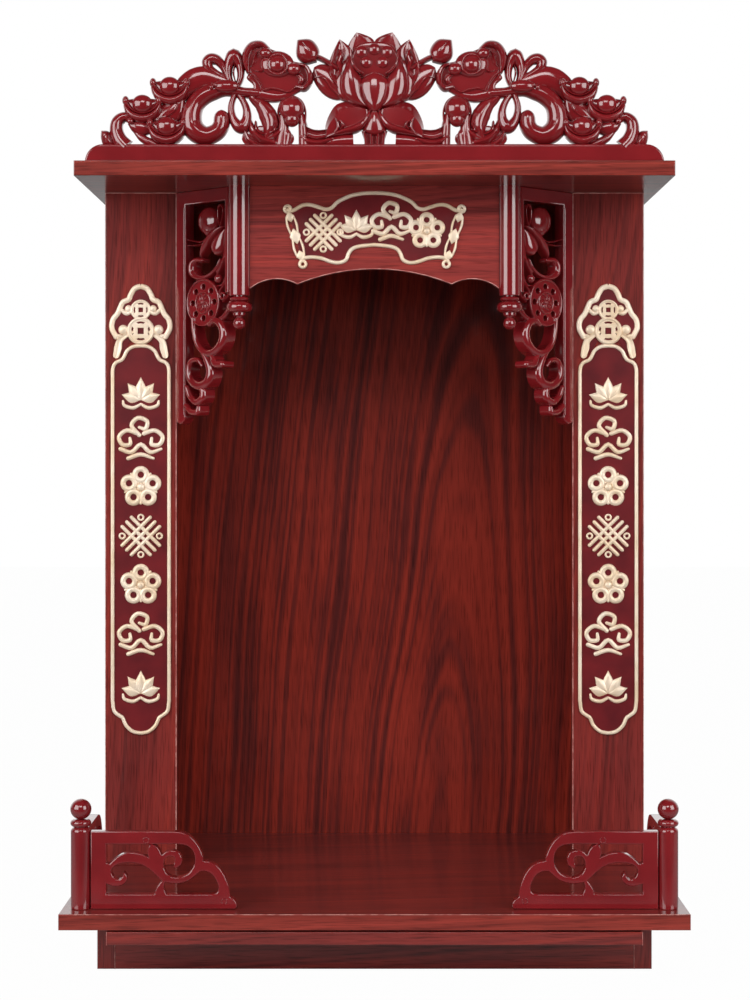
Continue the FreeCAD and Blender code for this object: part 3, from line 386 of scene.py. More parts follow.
def strand(points, widths, low, high, wall=0.25, shape=crown, steps=5, across=9, blunt=(True, True)):
    """A band of changing width along a smooth line, with a rounded back and round ends.

    Low and high are the levels that it lies between, and wall is the share of that height that stands
    straight before the back curves over.
    """
    line = through(points)
    count = steps * (len(points) - 1)
    rows = []
    for step in range(count + 1):
        share = step / count
        ahead = line(min(1.0, share + 0.01)) - line(max(0.0, share - 0.01))
        ahead.normalize()
        rows.append((line(share), ahead, between(widths, share) / 2))
    turns = [math.radians(angle) for angle in (22.5, 45, 67.5, 90)]
    if blunt[0]:
        spot, ahead, half = rows[0]
        rows[:0] = [(spot - ahead * half * math.sin(turn), ahead, half * math.cos(turn))
                    for turn in reversed(turns)]
    if blunt[1]:
        spot, ahead, half = rows[-1]
        rows += [(spot + ahead * half * math.sin(turn), ahead, half * math.cos(turn)) for turn in turns]
    widest = max(widths) / 2
    straight = wall * (high - low)

    def place_of(share, side, top):
        spot, ahead, half = rows[round(share * (len(rows) - 1))]
        level = low
        if top:
            level += straight + (high - low - straight) * shape(side) * math.sqrt(min(1.0, half / widest))
        return spot.x - ahead.y * half * side, spot.y + ahead.x * half * side, level

    return form(place_of, len(rows) - 1, across)


def leaf(left, right, low, high, wall=0.25, shape=crown, steps=14, across=9, swell=0.5):
    """A leaf or petal between two smooth edges that meet at its tips."""
    left_edge, right_edge = through(left), through(right)
    straight = wall * (high - low)

    def place_of(share, side, top):
        start, end = left_edge(share), right_edge(share)
        spot = start.lerp(end, (side + 1) / 2)
        level = low
        if top:
            level += straight + (high - low - straight) * shape(side) * (4 * share * (1 - share)) ** swell
        return spot.x, spot.y, level

    return form(place_of, steps, across)


def ball(centre, radii, level):
    """A ball or a flattened dome whose middle lies at a level."""
    deselect()
    bpy.ops.mesh.primitive_uv_sphere_add(segments=28, ring_count=14, radius=1)
    bpy.ops.object.mode_set(mode="EDIT")
    bpy.ops.transform.resize(value=radii)
    bpy.ops.transform.translate(value=(centre[0], centre[1], level))
    bpy.ops.object.mode_set(mode="OBJECT")
    return bpy.context.object


def ring(centre, radii, width, level, rise=1.0):
    """A round bead bent into a circle or an oval."""
    deselect()
    bpy.ops.mesh.primitive_torus_add(major_radius=radii[0], minor_radius=width / 2, major_segments=48,
                                     minor_segments=12)
    bpy.ops.object.mode_set(mode="EDIT")
    bpy.ops.transform.resize(value=(1, radii[1] / radii[0], rise))
    bpy.ops.transform.translate(value=(centre[0], centre[1], level))
    bpy.ops.object.mode_set(mode="OBJECT")
    return bpy.context.object


def polar(centre, radius, turn):
    """The point at a distance and an angle from a centre."""
    return centre[0] + radius * math.cos(turn), centre[1] + radius * math.sin(turn)


def arc(centre, radius, start, end, steps=10):
    """Points along an arc, its angles in degrees."""
    return [polar(centre, radius, math.radians(start + (end - start) * step / steps))
            for step in range(steps + 1)]


def flipped(points, sign):
    """The points on one side of the middle line: 1 keeps them where they are, -1 mirrors them."""
    return [(sign * x, y) for x, y in points]


def moved(points, x, y, size=1):
    """The points of a drawing at another place and size."""
    return [(x + size * px, y + size * py) for px, py in points]


def both_halves(half):
    """A closed outline from its right half, which starts and ends on the middle line."""
    return half + [(-x, y) for x, y in reversed(half[1:-1])]


def curved(points, steps=6):
    """Points along a smooth line through a few points."""
    line = through(points)
    count = steps * (len(points) - 1)
    return [tuple(line(step / count)) for step in range(count + 1)]


def plate(rims, low, high, ease):
    """A flat moulding: the first rim is its outline and the others are openings; its edges are eased."""
    deselect()
    bpy.ops.curve.primitive_bezier_curve_add()
    drawing = bpy.context.object
    data = drawing.data
    data.dimensions = "2D"
    data.fill_mode = "BOTH"
    data.splines.clear()
    for rim in rims:
        spline = data.splines.new("POLY")
        spline.points.add(len(rim) - 1)
        for point, (x, y) in zip(spline.points, rim):
            point.co = (x, y, 0, 1)
        spline.use_cyclic_u = True
    data.extrude = (high - low) / 2 - ease
    data.bevel_depth = ease
    data.bevel_resolution = 2
    data.offset = -ease
    bpy.ops.object.convert(target="MESH")
    piece = bpy.context.object
    bpy.ops.object.mode_set(mode="EDIT")
    bpy.ops.mesh.select_all(action="SELECT")
    bpy.ops.mesh.remove_doubles(threshold=0.001)
    bpy.ops.transform.translate(value=(0, 0, (low + high) / 2))
    bpy.ops.mesh.normals_make_consistent(inside=False)
    bpy.ops.object.mode_set(mode="OBJECT")
    return piece


def joined(pieces, name):
    deselect()
    for piece in pieces:
        piece.select_set(True)
    bpy.context.view_layer.objects.active = pieces[0]
    if len(pieces) > 1:
        bpy.ops.object.join()
    pieces[0].name = name
    pieces[0].data.name = name
    return pieces[0]


def staggered(pieces):
    """Set the flat backs of overlapping forms a hundredth of a millimetre apart, so that one shows."""
    for index, piece in enumerate(pieces):
        piece.data.transform(Matrix.Translation((0, 0, 0.01 * index)))
    return pieces


def mirrored(piece, name):
    """A copy on the other side of the middle."""
    copy = piece.copy()
    copy.data = piece.data.copy()
    bpy.context.collection.objects.link(copy)
    copy.data.transform(Matrix.Scale(-1, 4, (1, 0, 0)))
    copy.data.flip_normals()
    copy.name = name
    copy.data.name = name
    return copy


def stand(piece, x, y, z, turn=0.0):
    """Stand a drawing up in the frame: its right stays right, its up is up, its back faces the wall."""
    upright = Matrix.Rotation(math.radians(90), 4, "X")
    swung = Matrix.Rotation(turn, 4, "Z")
    piece.data.transform(Matrix.Translation((x, y, z)) @ swung @ upright @ Matrix.Scale(MM, 4))


def finish(piece, material, smooth=38, body="cabinet"):
    """Give a piece its material and the body that it rides on, and smooth its faces up to an angle."""
    deselect()
    piece.select_set(True)
    bpy.context.view_layer.objects.active = piece
    piece.data.materials.clear()
    piece.data.materials.append(material)
    bpy.ops.object.shade_smooth_by_angle(angle=math.radians(smooth))
    # Broad faces keep their own direction beside their eased edges
    bpy.ops.object.modifier_add(type="WEIGHTED_NORMAL")
    piece.modifiers[-1].keep_sharp = True
    bpy.ops.object.modifier_apply(modifier=piece.modifiers[-1].name)
    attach(piece, body)
    return piece


def turned(profile, name):
    """A turned piece on the upright axis: radii and heights of its rims from the top down."""
    deselect()
    bpy.ops.mesh.primitive_uv_sphere_add(segments=40, ring_count=len(profile) - 1, radius=1)
    piece = bpy.context.object
    for vertex in piece.data.vertices:
        x, y, z = vertex.co
        radius, height = profile[round(math.acos(max(-1.0, min(1.0, z))) / math.pi * (len(profile) - 1))]
        turn = math.atan2(y, x)
        vertex.co = (radius * math.cos(turn), radius * math.sin(turn), height)
    return joined([piece], name)


def bulge(radius, rise, top, bottom, steps=8):
    """Rims of a rounded bead: its widest radius and how far it stands out from its ends."""
    rims = []
    for step in range(steps + 1):
        turn = math.pi * step / steps
        rims.append((radius - rise + rise * math.sin(turn),
                     (top + bottom) / 2 + (top - bottom) / 2 * math.cos(turn)))
    return rims


def make_posts():
    """The corner posts with ring and ball, and the hanging posts with bead and ball."""
    corner = [(0, 84.3)] + bulge(8.1, 8.1, 84.3, 68.5, 14)[1:-1] + [(3, 68.9), (5.2, 68.6)]
    corner += bulge(8, 2.7, 68.5, 63.1)
    corner += [(5.4, 62.8), (6, 62.2), (6.9, 61.6), (7.5, 60.6), (7.7, 59.2), (7.7, 30), (7.7, 0.9),
               (7.5, 0.3), (7.2, 0), (0, 0)]
    hanging = [(0, 0), (8.7, 0), (8.7, -45), (8.7, -90), (8.3, -91), (4.6, -91.2), (4.6, -91.8)]
    hanging += bulge(8.3, 2.4, -91.8, -95.4, 6) + bulge(10.9, 4.4, -96, -105, 10)
    hanging += [(5.6, -105.2), (5.4, -107), (4.4, -108), (3.4, -108.6)]
    hanging += bulge(5.4, 5.4, -108.4, -119.2, 12)[2:]
    for side in ("left", "right"):
        for kind, profile in (("fence", corner), ("pendant", hanging)):
            low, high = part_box(f"{kind}_post_{side}")
            foot = low.z if kind == "fence" else high.z
            post = turned([(radius * MM, height * MM) for radius, height in profile],
                          f"turned_{kind}_post_{side}")
            post.data.transform(Matrix.Translation(((low.x + high.x) / 2, (low.y + high.y) / 2, foot)))
            finish(post, RED)
            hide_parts(f"{kind}_post_{side}")


def ingot(x, y):
    """A boat-shaped ingot: a deep hull whose ends stand up round a dome."""
    rim, hull, back, bowl, lip = (moved(points, x, y) for points in (
        [(-14.6, 4.6), (-11.6, -0.6), (-6.8, -5.2), (0, -7), (6.8, -5.2), (11.6, -0.6), (14.6, 4.6)],
        [(-14.6, 4.6), (-15.4, -2.4), (-10.8, -10.8), (0, -14.8), (10.8, -10.8), (15.4, -2.4), (14.6, 4.6)],
        [(-14, 4.4), (-8, 5.4), (0, 6.4), (8, 5.4), (14, 4.4)],
        [(-14, 4.4), (-8, -5.6), (0, -8.4), (8, -5.6), (14, 4.4)],
        [(-13.9, 4.4), (-12.6, 0.6), (-7.4, -4.6), (0, -6.8), (7.4, -4.6), (12.6, 0.6), (13.9, 4.4)]))
    return [
        leaf(rim, hull, 0, 12.4, wall=0.3, across=12, swell=0.2),
        leaf(back, bowl, 0, 9.6, wall=0.5, swell=0.3),
        ball((x, y + 0.8), (8.2, 7.4, 5.2), 8.2),
        strand(lip, [3.4, 2.6, 1.7, 1.5, 1.7, 2.6, 3.4], 3, 12.2, wall=0.5),
        ball((x - 13.4, y + 3.4), (2.8, 3.8, 4.4), 7.6),
        ball((x + 13.4, y + 3.4), (2.8, 3.8, 4.4), 7.6),
    ]


def sceptre():
    """The sceptre's cloud-shaped head, its stem with a bead, and its hook."""
    stem = [(94, 56), (103, 56.8), (111, 57.8), (120.5, 59.4), (129, 58), (137.8, 54.2), (144.1, 47.9),
            (147.3, 39.3), (147, 30.3), (142.1, 24.4), (134.7, 22.3), (127.2, 25.4), (123.6, 30.6),
            (123.1, 36.2)]
    widths = [9.4, 8.6, 8.8, 11, 13.6, 14.6, 15, 16.6, 18.2, 17.4, 15.2, 14.2, 13.8, 13.2]
    head = [(103.2, 76.5), (105.4, 84.5), (104.6, 91.5), (100.6, 96.4), (95.1, 97.7), (88.6, 96.4),
            (83.4, 91.6), (77.4, 89.3), (70.5, 86.8), (65.1, 81.6), (57.4, 79.8), (52, 75), (50.8, 66.8),
            (54.6, 59.6), (61, 56.6), (68.2, 52.4), (77.4, 50.4), (89.7, 50.6), (98.2, 54.6), (97.4, 62),
            (102.8, 67.7), (101, 72.3)]
    outline = curved(head + head[:1], 4)[:-1]
    wavy = [(101.4, 72.6), (96.2, 68.6), (91.8, 62.6), (89.2, 57.6), (83.4, 59.2), (77.1, 58.2), (69.1, 56.3),
            (63.7, 59.8)]
    cheek = [(101, 75), (98, 80), (96.6, 86), (92, 91)]
    return [
        strand(stem, widths, 0, 13.5, wall=0.15, across=12, steps=6),
        ball((118.9, 60.8), (10.4, 5, 4.4), 11),
        ball((130.6, 59.6), (2, 2, 2.2), 12.4),
        ball((126.8, 61), (1.6, 1.6, 2.4), 12.8),
        plate([outline], 0, 8.5, 2.4),
        strand([(101.6, 73), (103.2, 80.4), (102.6, 88), (98, 93.8), (91, 94.8), (85.6, 91.2)],
               [3.4, 6, 7.4, 7.4, 6.4, 4.4], 3, 14.5, wall=0.1),
        leaf(cheek, [(101, 75), (90, 72), (86, 82), (92, 91)], 4, 11, shape=dished, across=14),
        ball((87.2, 87.2), (5, 4.4, 4.4), 10.6),
        ball((78, 78.6), (13.4, 10.8, 5.4), 8),
        ring((77.8, 78), (8, 8), 1.4, 12.6),
        ball((77.8, 78), (6.2, 6.2, 3.8), 12.4),
        ball((64.6, 74.6), (5.6, 5, 4.6), 10.4),
        strand([(60.6, 78.6), (55.2, 76.6), (52.2, 71), (52.4, 64.4), (56.6, 59.4), (62.6, 60.4)],
               [3.4, 4.6, 5.4, 5.4, 4.8, 3], 3, 13.4, wall=0.1),
        leaf([(63.4, 70), (58.6, 71), (55.4, 66.4), (58.6, 61.4)],
             [(63.4, 70), (60.4, 66.2), (61.4, 63.6), (58.6, 61.4)], 5, 11.5),
        strand(wavy, [1.8] * 8, 7, 10.6, across=7),
        leaf([(99, 56.6), (92, 60.6), (78, 57.6), (62, 57.8)], [(99, 56.6), (90, 50), (76, 49.6), (62, 57.8)],
             0, 9.4, wall=0.5),
    ]


def bow():
    """The ribbon's bow: two loops over the stem, one under it, a broad tail and a sash."""
    def loop(points, widths, high):
        return strand(points, widths, 0, high, wall=0.25, across=10, steps=6, blunt=(False, False))

    return [
        loop([(116, 62.5), (121.6, 68.6), (127.8, 72.4), (133, 76.2), (134.6, 81), (131.6, 84), (126.6, 83),
              (121.8, 77.6), (118.2, 70), (116, 62.5)],
             [4.4, 5.4, 6.2, 7.6, 9.6, 9.4, 8.4, 6.6, 5.4, 4.4], 9.5),
        loop([(112.6, 59), (117.2, 69), (117.4, 78.6), (113.2, 86), (108.4, 79), (107.8, 69), (111.6, 59)],
             [4, 5.6, 7.8, 13.2, 7.6, 5.8, 4], 10.8),
        loop([(112, 57), (115.4, 46), (114.2, 37), (110.2, 30.4), (106, 29.8), (103, 35), (103, 43),
              (106.4, 51), (111.4, 57)], [4.4, 5.6, 6.6, 10, 12, 8.6, 6.6, 5.4, 4.4], 10),
        strand([(111.2, 63), (113.4, 72), (112.4, 78.4)], [1.2, 2, 1.2], 0, 9, across=7),
        strand([(102, 57), (97.2, 51.3), (91.3, 46.9), (86.3, 39.5), (84, 31), (86.4, 20.6)],
               [4.4, 6.8, 11, 15, 14, 7], 0, 10.8, shape=ridged, across=11),
        strand([(101.4, 20), (92, 21.6), (80, 20.6), (69.6, 19.6)], [11, 17, 17, 10], 0, 4.6, wall=0.8),
        strand([(157.4, 56), (152, 62.4), (145, 67.4), (136.4, 69.4), (122, 65.4)],
               [12, 16.4, 17.8, 17, 13], 0, 8.4, wall=0.5, across=12),
        strand([(155.6, 52), (150.4, 58.6), (143, 63), (134, 64.4)], [8, 9, 9, 6], 0, 6.2, wall=0.7),
        strand([(100.3, 34.9), (98.1, 26.4), (91.5, 19.7), (80.3, 16.2)], [3.1, 7.2, 8.4, 6.5], 0, 9.6,
               shape=ridged),
        strand([(95.6, 33), (95, 27), (91, 24), (84.6, 22.6)], [2.4, 4, 4, 2.6], 0, 8.8, shape=ridged),
        strand([(104.6, 25.9), (101.2, 18.8), (95.1, 14.4)], [3.1, 6, 6.4], 0, 8, shape=ridged),
        strand([(73.4, 34.6), (75.6, 25.9), (82.8, 20.6), (90, 18)], [3.1, 6.4, 7, 4.6], 0, 8.8, shape=ridged),
        strand([(79.4, 31), (80.6, 26), (86, 23.6)], [2.4, 3.8, 2.4], 0, 9.6, shape=ridged),
        strand([(74, 28.3), (70.9, 23.1), (72.6, 14.4)], [4.6, 8.6, 9.6], 0, 8, wall=0.4, blunt=(True, False)),
    ]


def buds_and_leaves():
    """The heart-shaped upper bud, the hooded lower bud on its legs and the leaves on the rail."""
    return [
        leaf([(46.6, 81.4), (55.8, 79.8), (63, 86), (62.4, 99.3)],
             [(46.6, 81.4), (44.2, 90.6), (50.8, 99.4), (62.4, 99.3)], 0, 12.5, across=12),
        strand([(58, 96), (53, 90), (50.6, 84.6)], [0.8, 1.3, 0.8], 9.4, 12.8, across=7),
        strand([(48.6, 86.4), (43, 84.2), (36, 80.2), (30, 76)], [4.2, 4.6, 5, 5], 0, 9),
        ball((66.6, 43.4), (10.4, 10.2, 8.6), 4.6),
        ball((66.3, 35.2), (6.2, 6.6, 6.6), 5.2),
        strand([(76, 33), (77.4, 42), (74, 50), (66.6, 53.2), (59.2, 50), (55.6, 42), (55.8, 31)],
               [1.6, 2, 2.2, 2.4, 2.2, 2, 1.6], 0, 7, wall=0.5),
        strand([(74.4, 38), (73.2, 29), (74.6, 14.4)], [5.4, 9, 12.4], 0, 8.6, blunt=(True, False)),
        strand([(58.6, 38), (57.6, 29), (56.8, 14.4)], [5.4, 8, 9], 0, 8.6, blunt=(True, False)),
        strand([(58.6, 31), (54.3, 25), (46.7, 22.4), (37, 23.8)], [4.4, 8, 8.6, 7], 0, 9, shape=dished,
               across=14),
        strand([(58.4, 20.8), (52.8, 17.2), (44, 16.4), (34, 19)], [4.6, 6, 6, 4], 0, 9.6),
        strand([(41, 15.4), (33.6, 17), (26, 17.8), (17, 18.2)], [2, 7.4, 9.2, 9.6], 0, 8, wall=0.5,
               blunt=(True, False), across=12),
    ]


def broad_leaf():
    """The big leaf beside the lotus' stem, with its lower edge rolled over."""
    upper = [(39.8, 19.6), (39.6, 30), (36.2, 39.6), (30.4, 47.4), (20, 49.8), (8, 46), (3.6, 41.8)]
    lower = [(39.8, 19.6), (33, 23.8), (25, 26.4), (17, 28), (10.4, 31.4), (6, 36), (3.6, 41.8)]
    roll = [(39.2, 20.2), (31.8, 23.2), (24.2, 25.4), (16, 27.4), (9.6, 31.2), (5.4, 37), (3.4, 42)]
    return [
        leaf(upper, lower, 0, 9, wall=0.25, shape=shelving, across=16, swell=0.25, steps=18),
        strand(roll, [1.8, 4.2, 6.4, 7.6, 6.6, 4.6, 2.6], 1, 12.5, wall=0.2),
        strand([(31.4, 24), (29, 27.6), (29.6, 32), (31.6, 35.4)], [3, 3.6, 2.8, 1.4], 4, 12, shape=ridged),
        strand([(27.4, 32.6), (25, 29.6), (27.4, 26.6)], [1.8, 2.4, 1.8], 6, 12.6),
    ]


def lotus_half():
    """Half of the open lotus: the petals in four rows, from the back to the front."""
    return [
        leaf([(0, 60), (0, 80), (0, 92), (0.3, 98.6), (6, 102.6), (14.6, 105.2)],
             [(0, 60), (20, 68), (23, 82), (22.6, 91), (19.4, 98.4), (14.6, 105.2)], 0, 6, wall=0.6,
             shape=dished, across=16, swell=0.2),
        leaf([(18.9, 50), (25.4, 58), (24.2, 70), (18.4, 80), (18, 91), (28.2, 99.6)],
             [(18.9, 50), (29.4, 59.5), (36, 70.3), (36.4, 81.5), (32.8, 91), (28.2, 99.6)], 0, 9, wall=0.45,
             shape=dished, across=16, swell=0.3),
        strand([(28.6, 91), (27, 85.6), (28.6, 80), (27.2, 73.6), (30.4, 66.6)], [1, 4.2, 4.8, 4, 1.2], 3,
               10.8),
        leaf([(49, 77), (43, 79.6), (35, 77.6), (29, 68), (22, 51.5)],
             [(49, 77), (49.8, 68), (42.4, 56.4), (32, 51), (22, 51.5)], 0, 8, wall=0.4, across=16, swell=0.3),
        strand([(48.8, 67.8), (43.4, 68.8), (38.4, 65.6), (33.6, 58.8), (26.4, 51.4)], [1.4, 3, 3.8, 3.8, 1.6],
               3, 10.4, shape=ridged),
        leaf([(14, 47.5), (21, 57), (20.6, 67), (18.8, 78), (22.4, 84.6)],
             [(14, 47.5), (28.4, 51.4), (32.4, 62), (30.4, 75), (22.4, 84.6)], 0, 8.4, wall=0.4, across=12,
             swell=0.3),
        leaf([(5, 44), (8, 55), (9, 66), (13.4, 74.6), (19.8, 85)],
             [(5, 44), (21, 47.8), (27.6, 59), (26.2, 72), (19.8, 85)], 0, 13.2, wall=0.25, across=18,
             swell=0.3, steps=20),
        strand([(9.4, 71), (13.8, 73.4), (17.4, 78.4), (19.8, 84.8)], [1.6, 2.6, 2.4, 1], 8, 13.4),
    ]


def lotus_middle():
    """The seed head, the front petal, the calyx and the stem, on the middle line."""
    seeds = [(10.4, 89), (0, 91), (-10.4, 89), (6.6, 80.6), (-6.6, 80.6)]
    pod = [(-19, 84), (-16, 73), (0, 66), (16, 73), (19, 84), (14, 94.5), (0, 97.6), (-14, 94.5)]
    petal_right = [(0, 39.8), (4.6, 42.6), (9.6, 49), (12.5, 56.4), (12.7, 63.6), (8.4, 69.2), (0, 72.8)]
    calyx_right = [(0, 21.6), (5.6, 23.2), (9.8, 26.4), (7.4, 33), (4.2, 40), (0, 46)]
    stalk = [(-10.6, 25.6), (10.6, 25.6), (8.6, 19), (7.6, 12), (-7.6, 12), (-8.6, 19)]
    pieces = [
        plate([curved(pod + pod[:1], 5)[:-1]], 0, 7, 1.8),
        leaf(flipped(petal_right, -1), petal_right, 0, 15, wall=0.35, across=20, swell=0.3, steps=22),
        leaf(flipped(calyx_right, -1), calyx_right, 0, 11.5, wall=0.3, across=16, swell=0.4, steps=16),
        plate([stalk], 0, 6, 1),
    ]
    for x in (-6.8, -2.2, 2.2, 6.8):
        pieces.append(strand([(1.25 * x, 25), (1.08 * x, 19), (x, 13)], [2.4, 2.6, 2.8], 3, 9,
                             blunt=(True, False)))
    for seed in seeds:
        pieces.append(ball(seed, (4.9, 4.9, 3), 6.8))
    return pieces


def crest_end():
    """The curl, the bead, the leaves and the three ingots at the end of the crest."""
    pieces = [
        strand([(199.8, 12.9), (205, 18.5), (207.8, 26.2), (206.8, 33.4), (201.6, 37.1), (196.6, 35.1)],
               [13.6, 12.6, 11.1, 9.9, 8.4, 6], 0, 11, blunt=(False, True), across=12),
        ball((196, 33), (2.6, 2.6, 2.6), 9),
        leaf([(208.6, 13.8), (210.4, 20.4), (214.2, 25.8), (220.2, 26.4)],
             [(208.6, 13.8), (217.4, 13.8), (220.4, 19.6), (220.2, 26.4)], 0, 8, shape=ridged),
        leaf([(199, 31.6), (192.6, 34.6), (184, 34), (176, 26)],
             [(199, 31.6), (194.6, 25), (187, 21.6), (176, 26)], 0, 8.4, wall=0.3, across=12),
        strand([(193, 25.4), (187.6, 20.6), (181.6, 17), (176, 14.8)], [3, 6.4, 7.4, 6], 0, 7),
        leaf([(153, 56), (164.6, 51.6), (174, 44), (179.4, 33)],
             [(153, 56), (152.6, 40), (163, 30.6), (179.4, 33)], 0, 8, wall=0.35, across=16, swell=0.3),
        strand([(174.6, 35.6), (166.6, 37.4), (160.4, 42.4), (157.4, 50)], [1, 3, 3.4, 1.2], 4, 10),
    ]
    for x, y in ((186.4, 46.1), (164.4, 60.5), (166.9, 28.4)):
        pieces += ingot(x, y)
    return pieces


def make_crest():
    """The crest on the top board: a rail with rounded ends and the openwork that stands on it."""
    low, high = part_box("crest")
    half_rail, tall = (high.x - low.x) / 2 / MM, 14.5
    rim = arc((half_rail - tall, 0), tall, 0, 90, 8)
    rim += [(-x, y) for x, y in reversed(rim)]
    pieces = [plate([rim], 0, 11, 1.6)]
    halves = staggered(sceptre() + bow() + buds_and_leaves() + broad_leaf() + lotus_half() + crest_end())
    right = joined(halves, "crest_right")
    left = mirrored(right, "crest_left")
    pieces += [right, left] + staggered(lotus_middle())
    crest = joined(pieces, "carved_crest")
    stand(crest, 0, high.y, low.z)
    finish(crest, RED)
    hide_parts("crest")


def rim_of(*runs):
    """The points of a rim of several runs: two points make a straight side, more a smooth one."""
    points = []
    for run in runs:
        points += run[:1] if len(run) == 2 else curved(run, 4)[:-1]
    return points


def make_fence(name):
    """One openwork panel, cut round its vine: across from the post's axis, heights from the shelf."""
    outline = rim_of(
        [(8, 0.2), (8, 59.8)], [(8, 59.8), (71.8, 59.8)],
        [(71.8, 59.8), (79.8, 58.6), (86.3, 54.3), (91.3, 47.7), (94.2, 40.7), (94.6, 37.1)],
        [(94.6, 37.1), (99.9, 36.3), (106.4, 32.2), (111.4, 24.7), (114.4, 15.7), (115.2, 9.4)],
        [(115.2, 9.4), (118.9, 6.7), (120.4, 2.7), (119.2, 0.2)], [(119.2, 0.2), (8, 0.2)])
    over_vine = rim_of(
        [(20, 50.1), (53.5, 50.1)], [(53.5, 50.1), (52.3, 46.7), (51.9, 43.2), (52.5, 39.9)],
        [(52.5, 39.9), (48.3, 41.9), (43.3, 43.4), (37.2, 43.7), (31.2, 41.9), (26.2, 38.5), (22.4, 34.7)],
        [(22.4, 34.7), (20, 35.7)], [(20, 35.7), (20, 50.1)])
    round_tongue = rim_of(
        [(55.5, 50.1), (73.8, 50.3)],
        [(73.8, 50.3), (81.8, 48.9), (86.3, 45.2), (88.1, 39.7), (87.3, 33.7), (83.3, 27.7), (76.8, 24.7),
         (70.8, 24.9), (66.3, 27.7), (64.1, 32.2)],
        [(64.1, 32.2), (64.3, 36.7), (66.3, 39.9), (69.3, 40.9), (72.1, 39.5), (72.5, 36.7), (71.6, 34.2)],
        [(71.6, 34.2), (72.5, 31.7), (74.8, 32.1)],
        [(74.8, 32.1), (77.5, 34.7), (78.1, 39.1), (75.8, 43.5), (71.3, 45.2), (66.3, 44.4), (62.5, 41.7)],
        [(62.5, 41.7), (60.8, 45.7), (58.3, 48.5), (55.5, 50.1)])
    under_vine = rim_of(
        [(23.7, 30.2), (26.7, 33.5), (31.2, 35.2), (37.2, 35.9), (43.3, 35.2), (49.3, 33.2), (54.8, 29.4),
         (60.3, 24)],
        [(60.3, 24), (62.8, 22.2)], [(62.8, 22.2), (59.8, 18.5), (58.1, 15.2), (57, 11.5)],
        [(57, 11.5), (20, 11.5)], [(20, 11.5), (20, 19.7)],
        [(20, 19.7), (26.2, 17.7), (31.7, 18.5), (35.4, 21.5), (36, 25.2), (33.4, 28.7)],
        [(33.4, 28.7), (32.4, 25.2), (29.7, 22.7), (26.4, 24), (24.4, 26.9), (23.7, 30.2)])
    in_arc = rim_of(
        [(65.1, 20.9), (64.3, 16.7), (66.1, 11.5)], [(66.1, 11.5), (100.4, 11.5)],
        [(100.4, 11.5), (104.6, 12.5), (106.2, 15.7), (105.4, 20.2), (101.9, 26.2), (96.9, 29.1), (92.4, 29.3)],
        [(92.4, 29.3), (88.3, 25.9), (83.3, 22.2), (76.3, 20), (70.3, 19.9), (65.1, 20.9)])
    openings = [over_vine, round_tongue, under_vine, in_arc]
    # Two faint round marks show where the pins pushed the moulding out of its tool
    marks = [ring(spot, (2.1, 2.1), 0.5, 4.5) for spot in ((50.6, 53.2), (110.6, 6.4))]
    return joined([plate([outline] + openings, -4.5, 4.5, 0.9)] + marks, name)


def make_fences():
    low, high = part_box("fence_post_left")
    x, y, z = (low.x + high.x) / 2, (low.y + high.y) / 2, low.z
    for name, turn in (("fence_front", 0), ("fence_side", math.radians(90))):
        left = make_fence(name + "_left_panel")
        stand(left, x, y, z, turn)
        finish(left, RED)
        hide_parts(name + "_left")
        right = mirrored(left, name + "_right_panel")
        finish(right, RED)
        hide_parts(name + "_right")


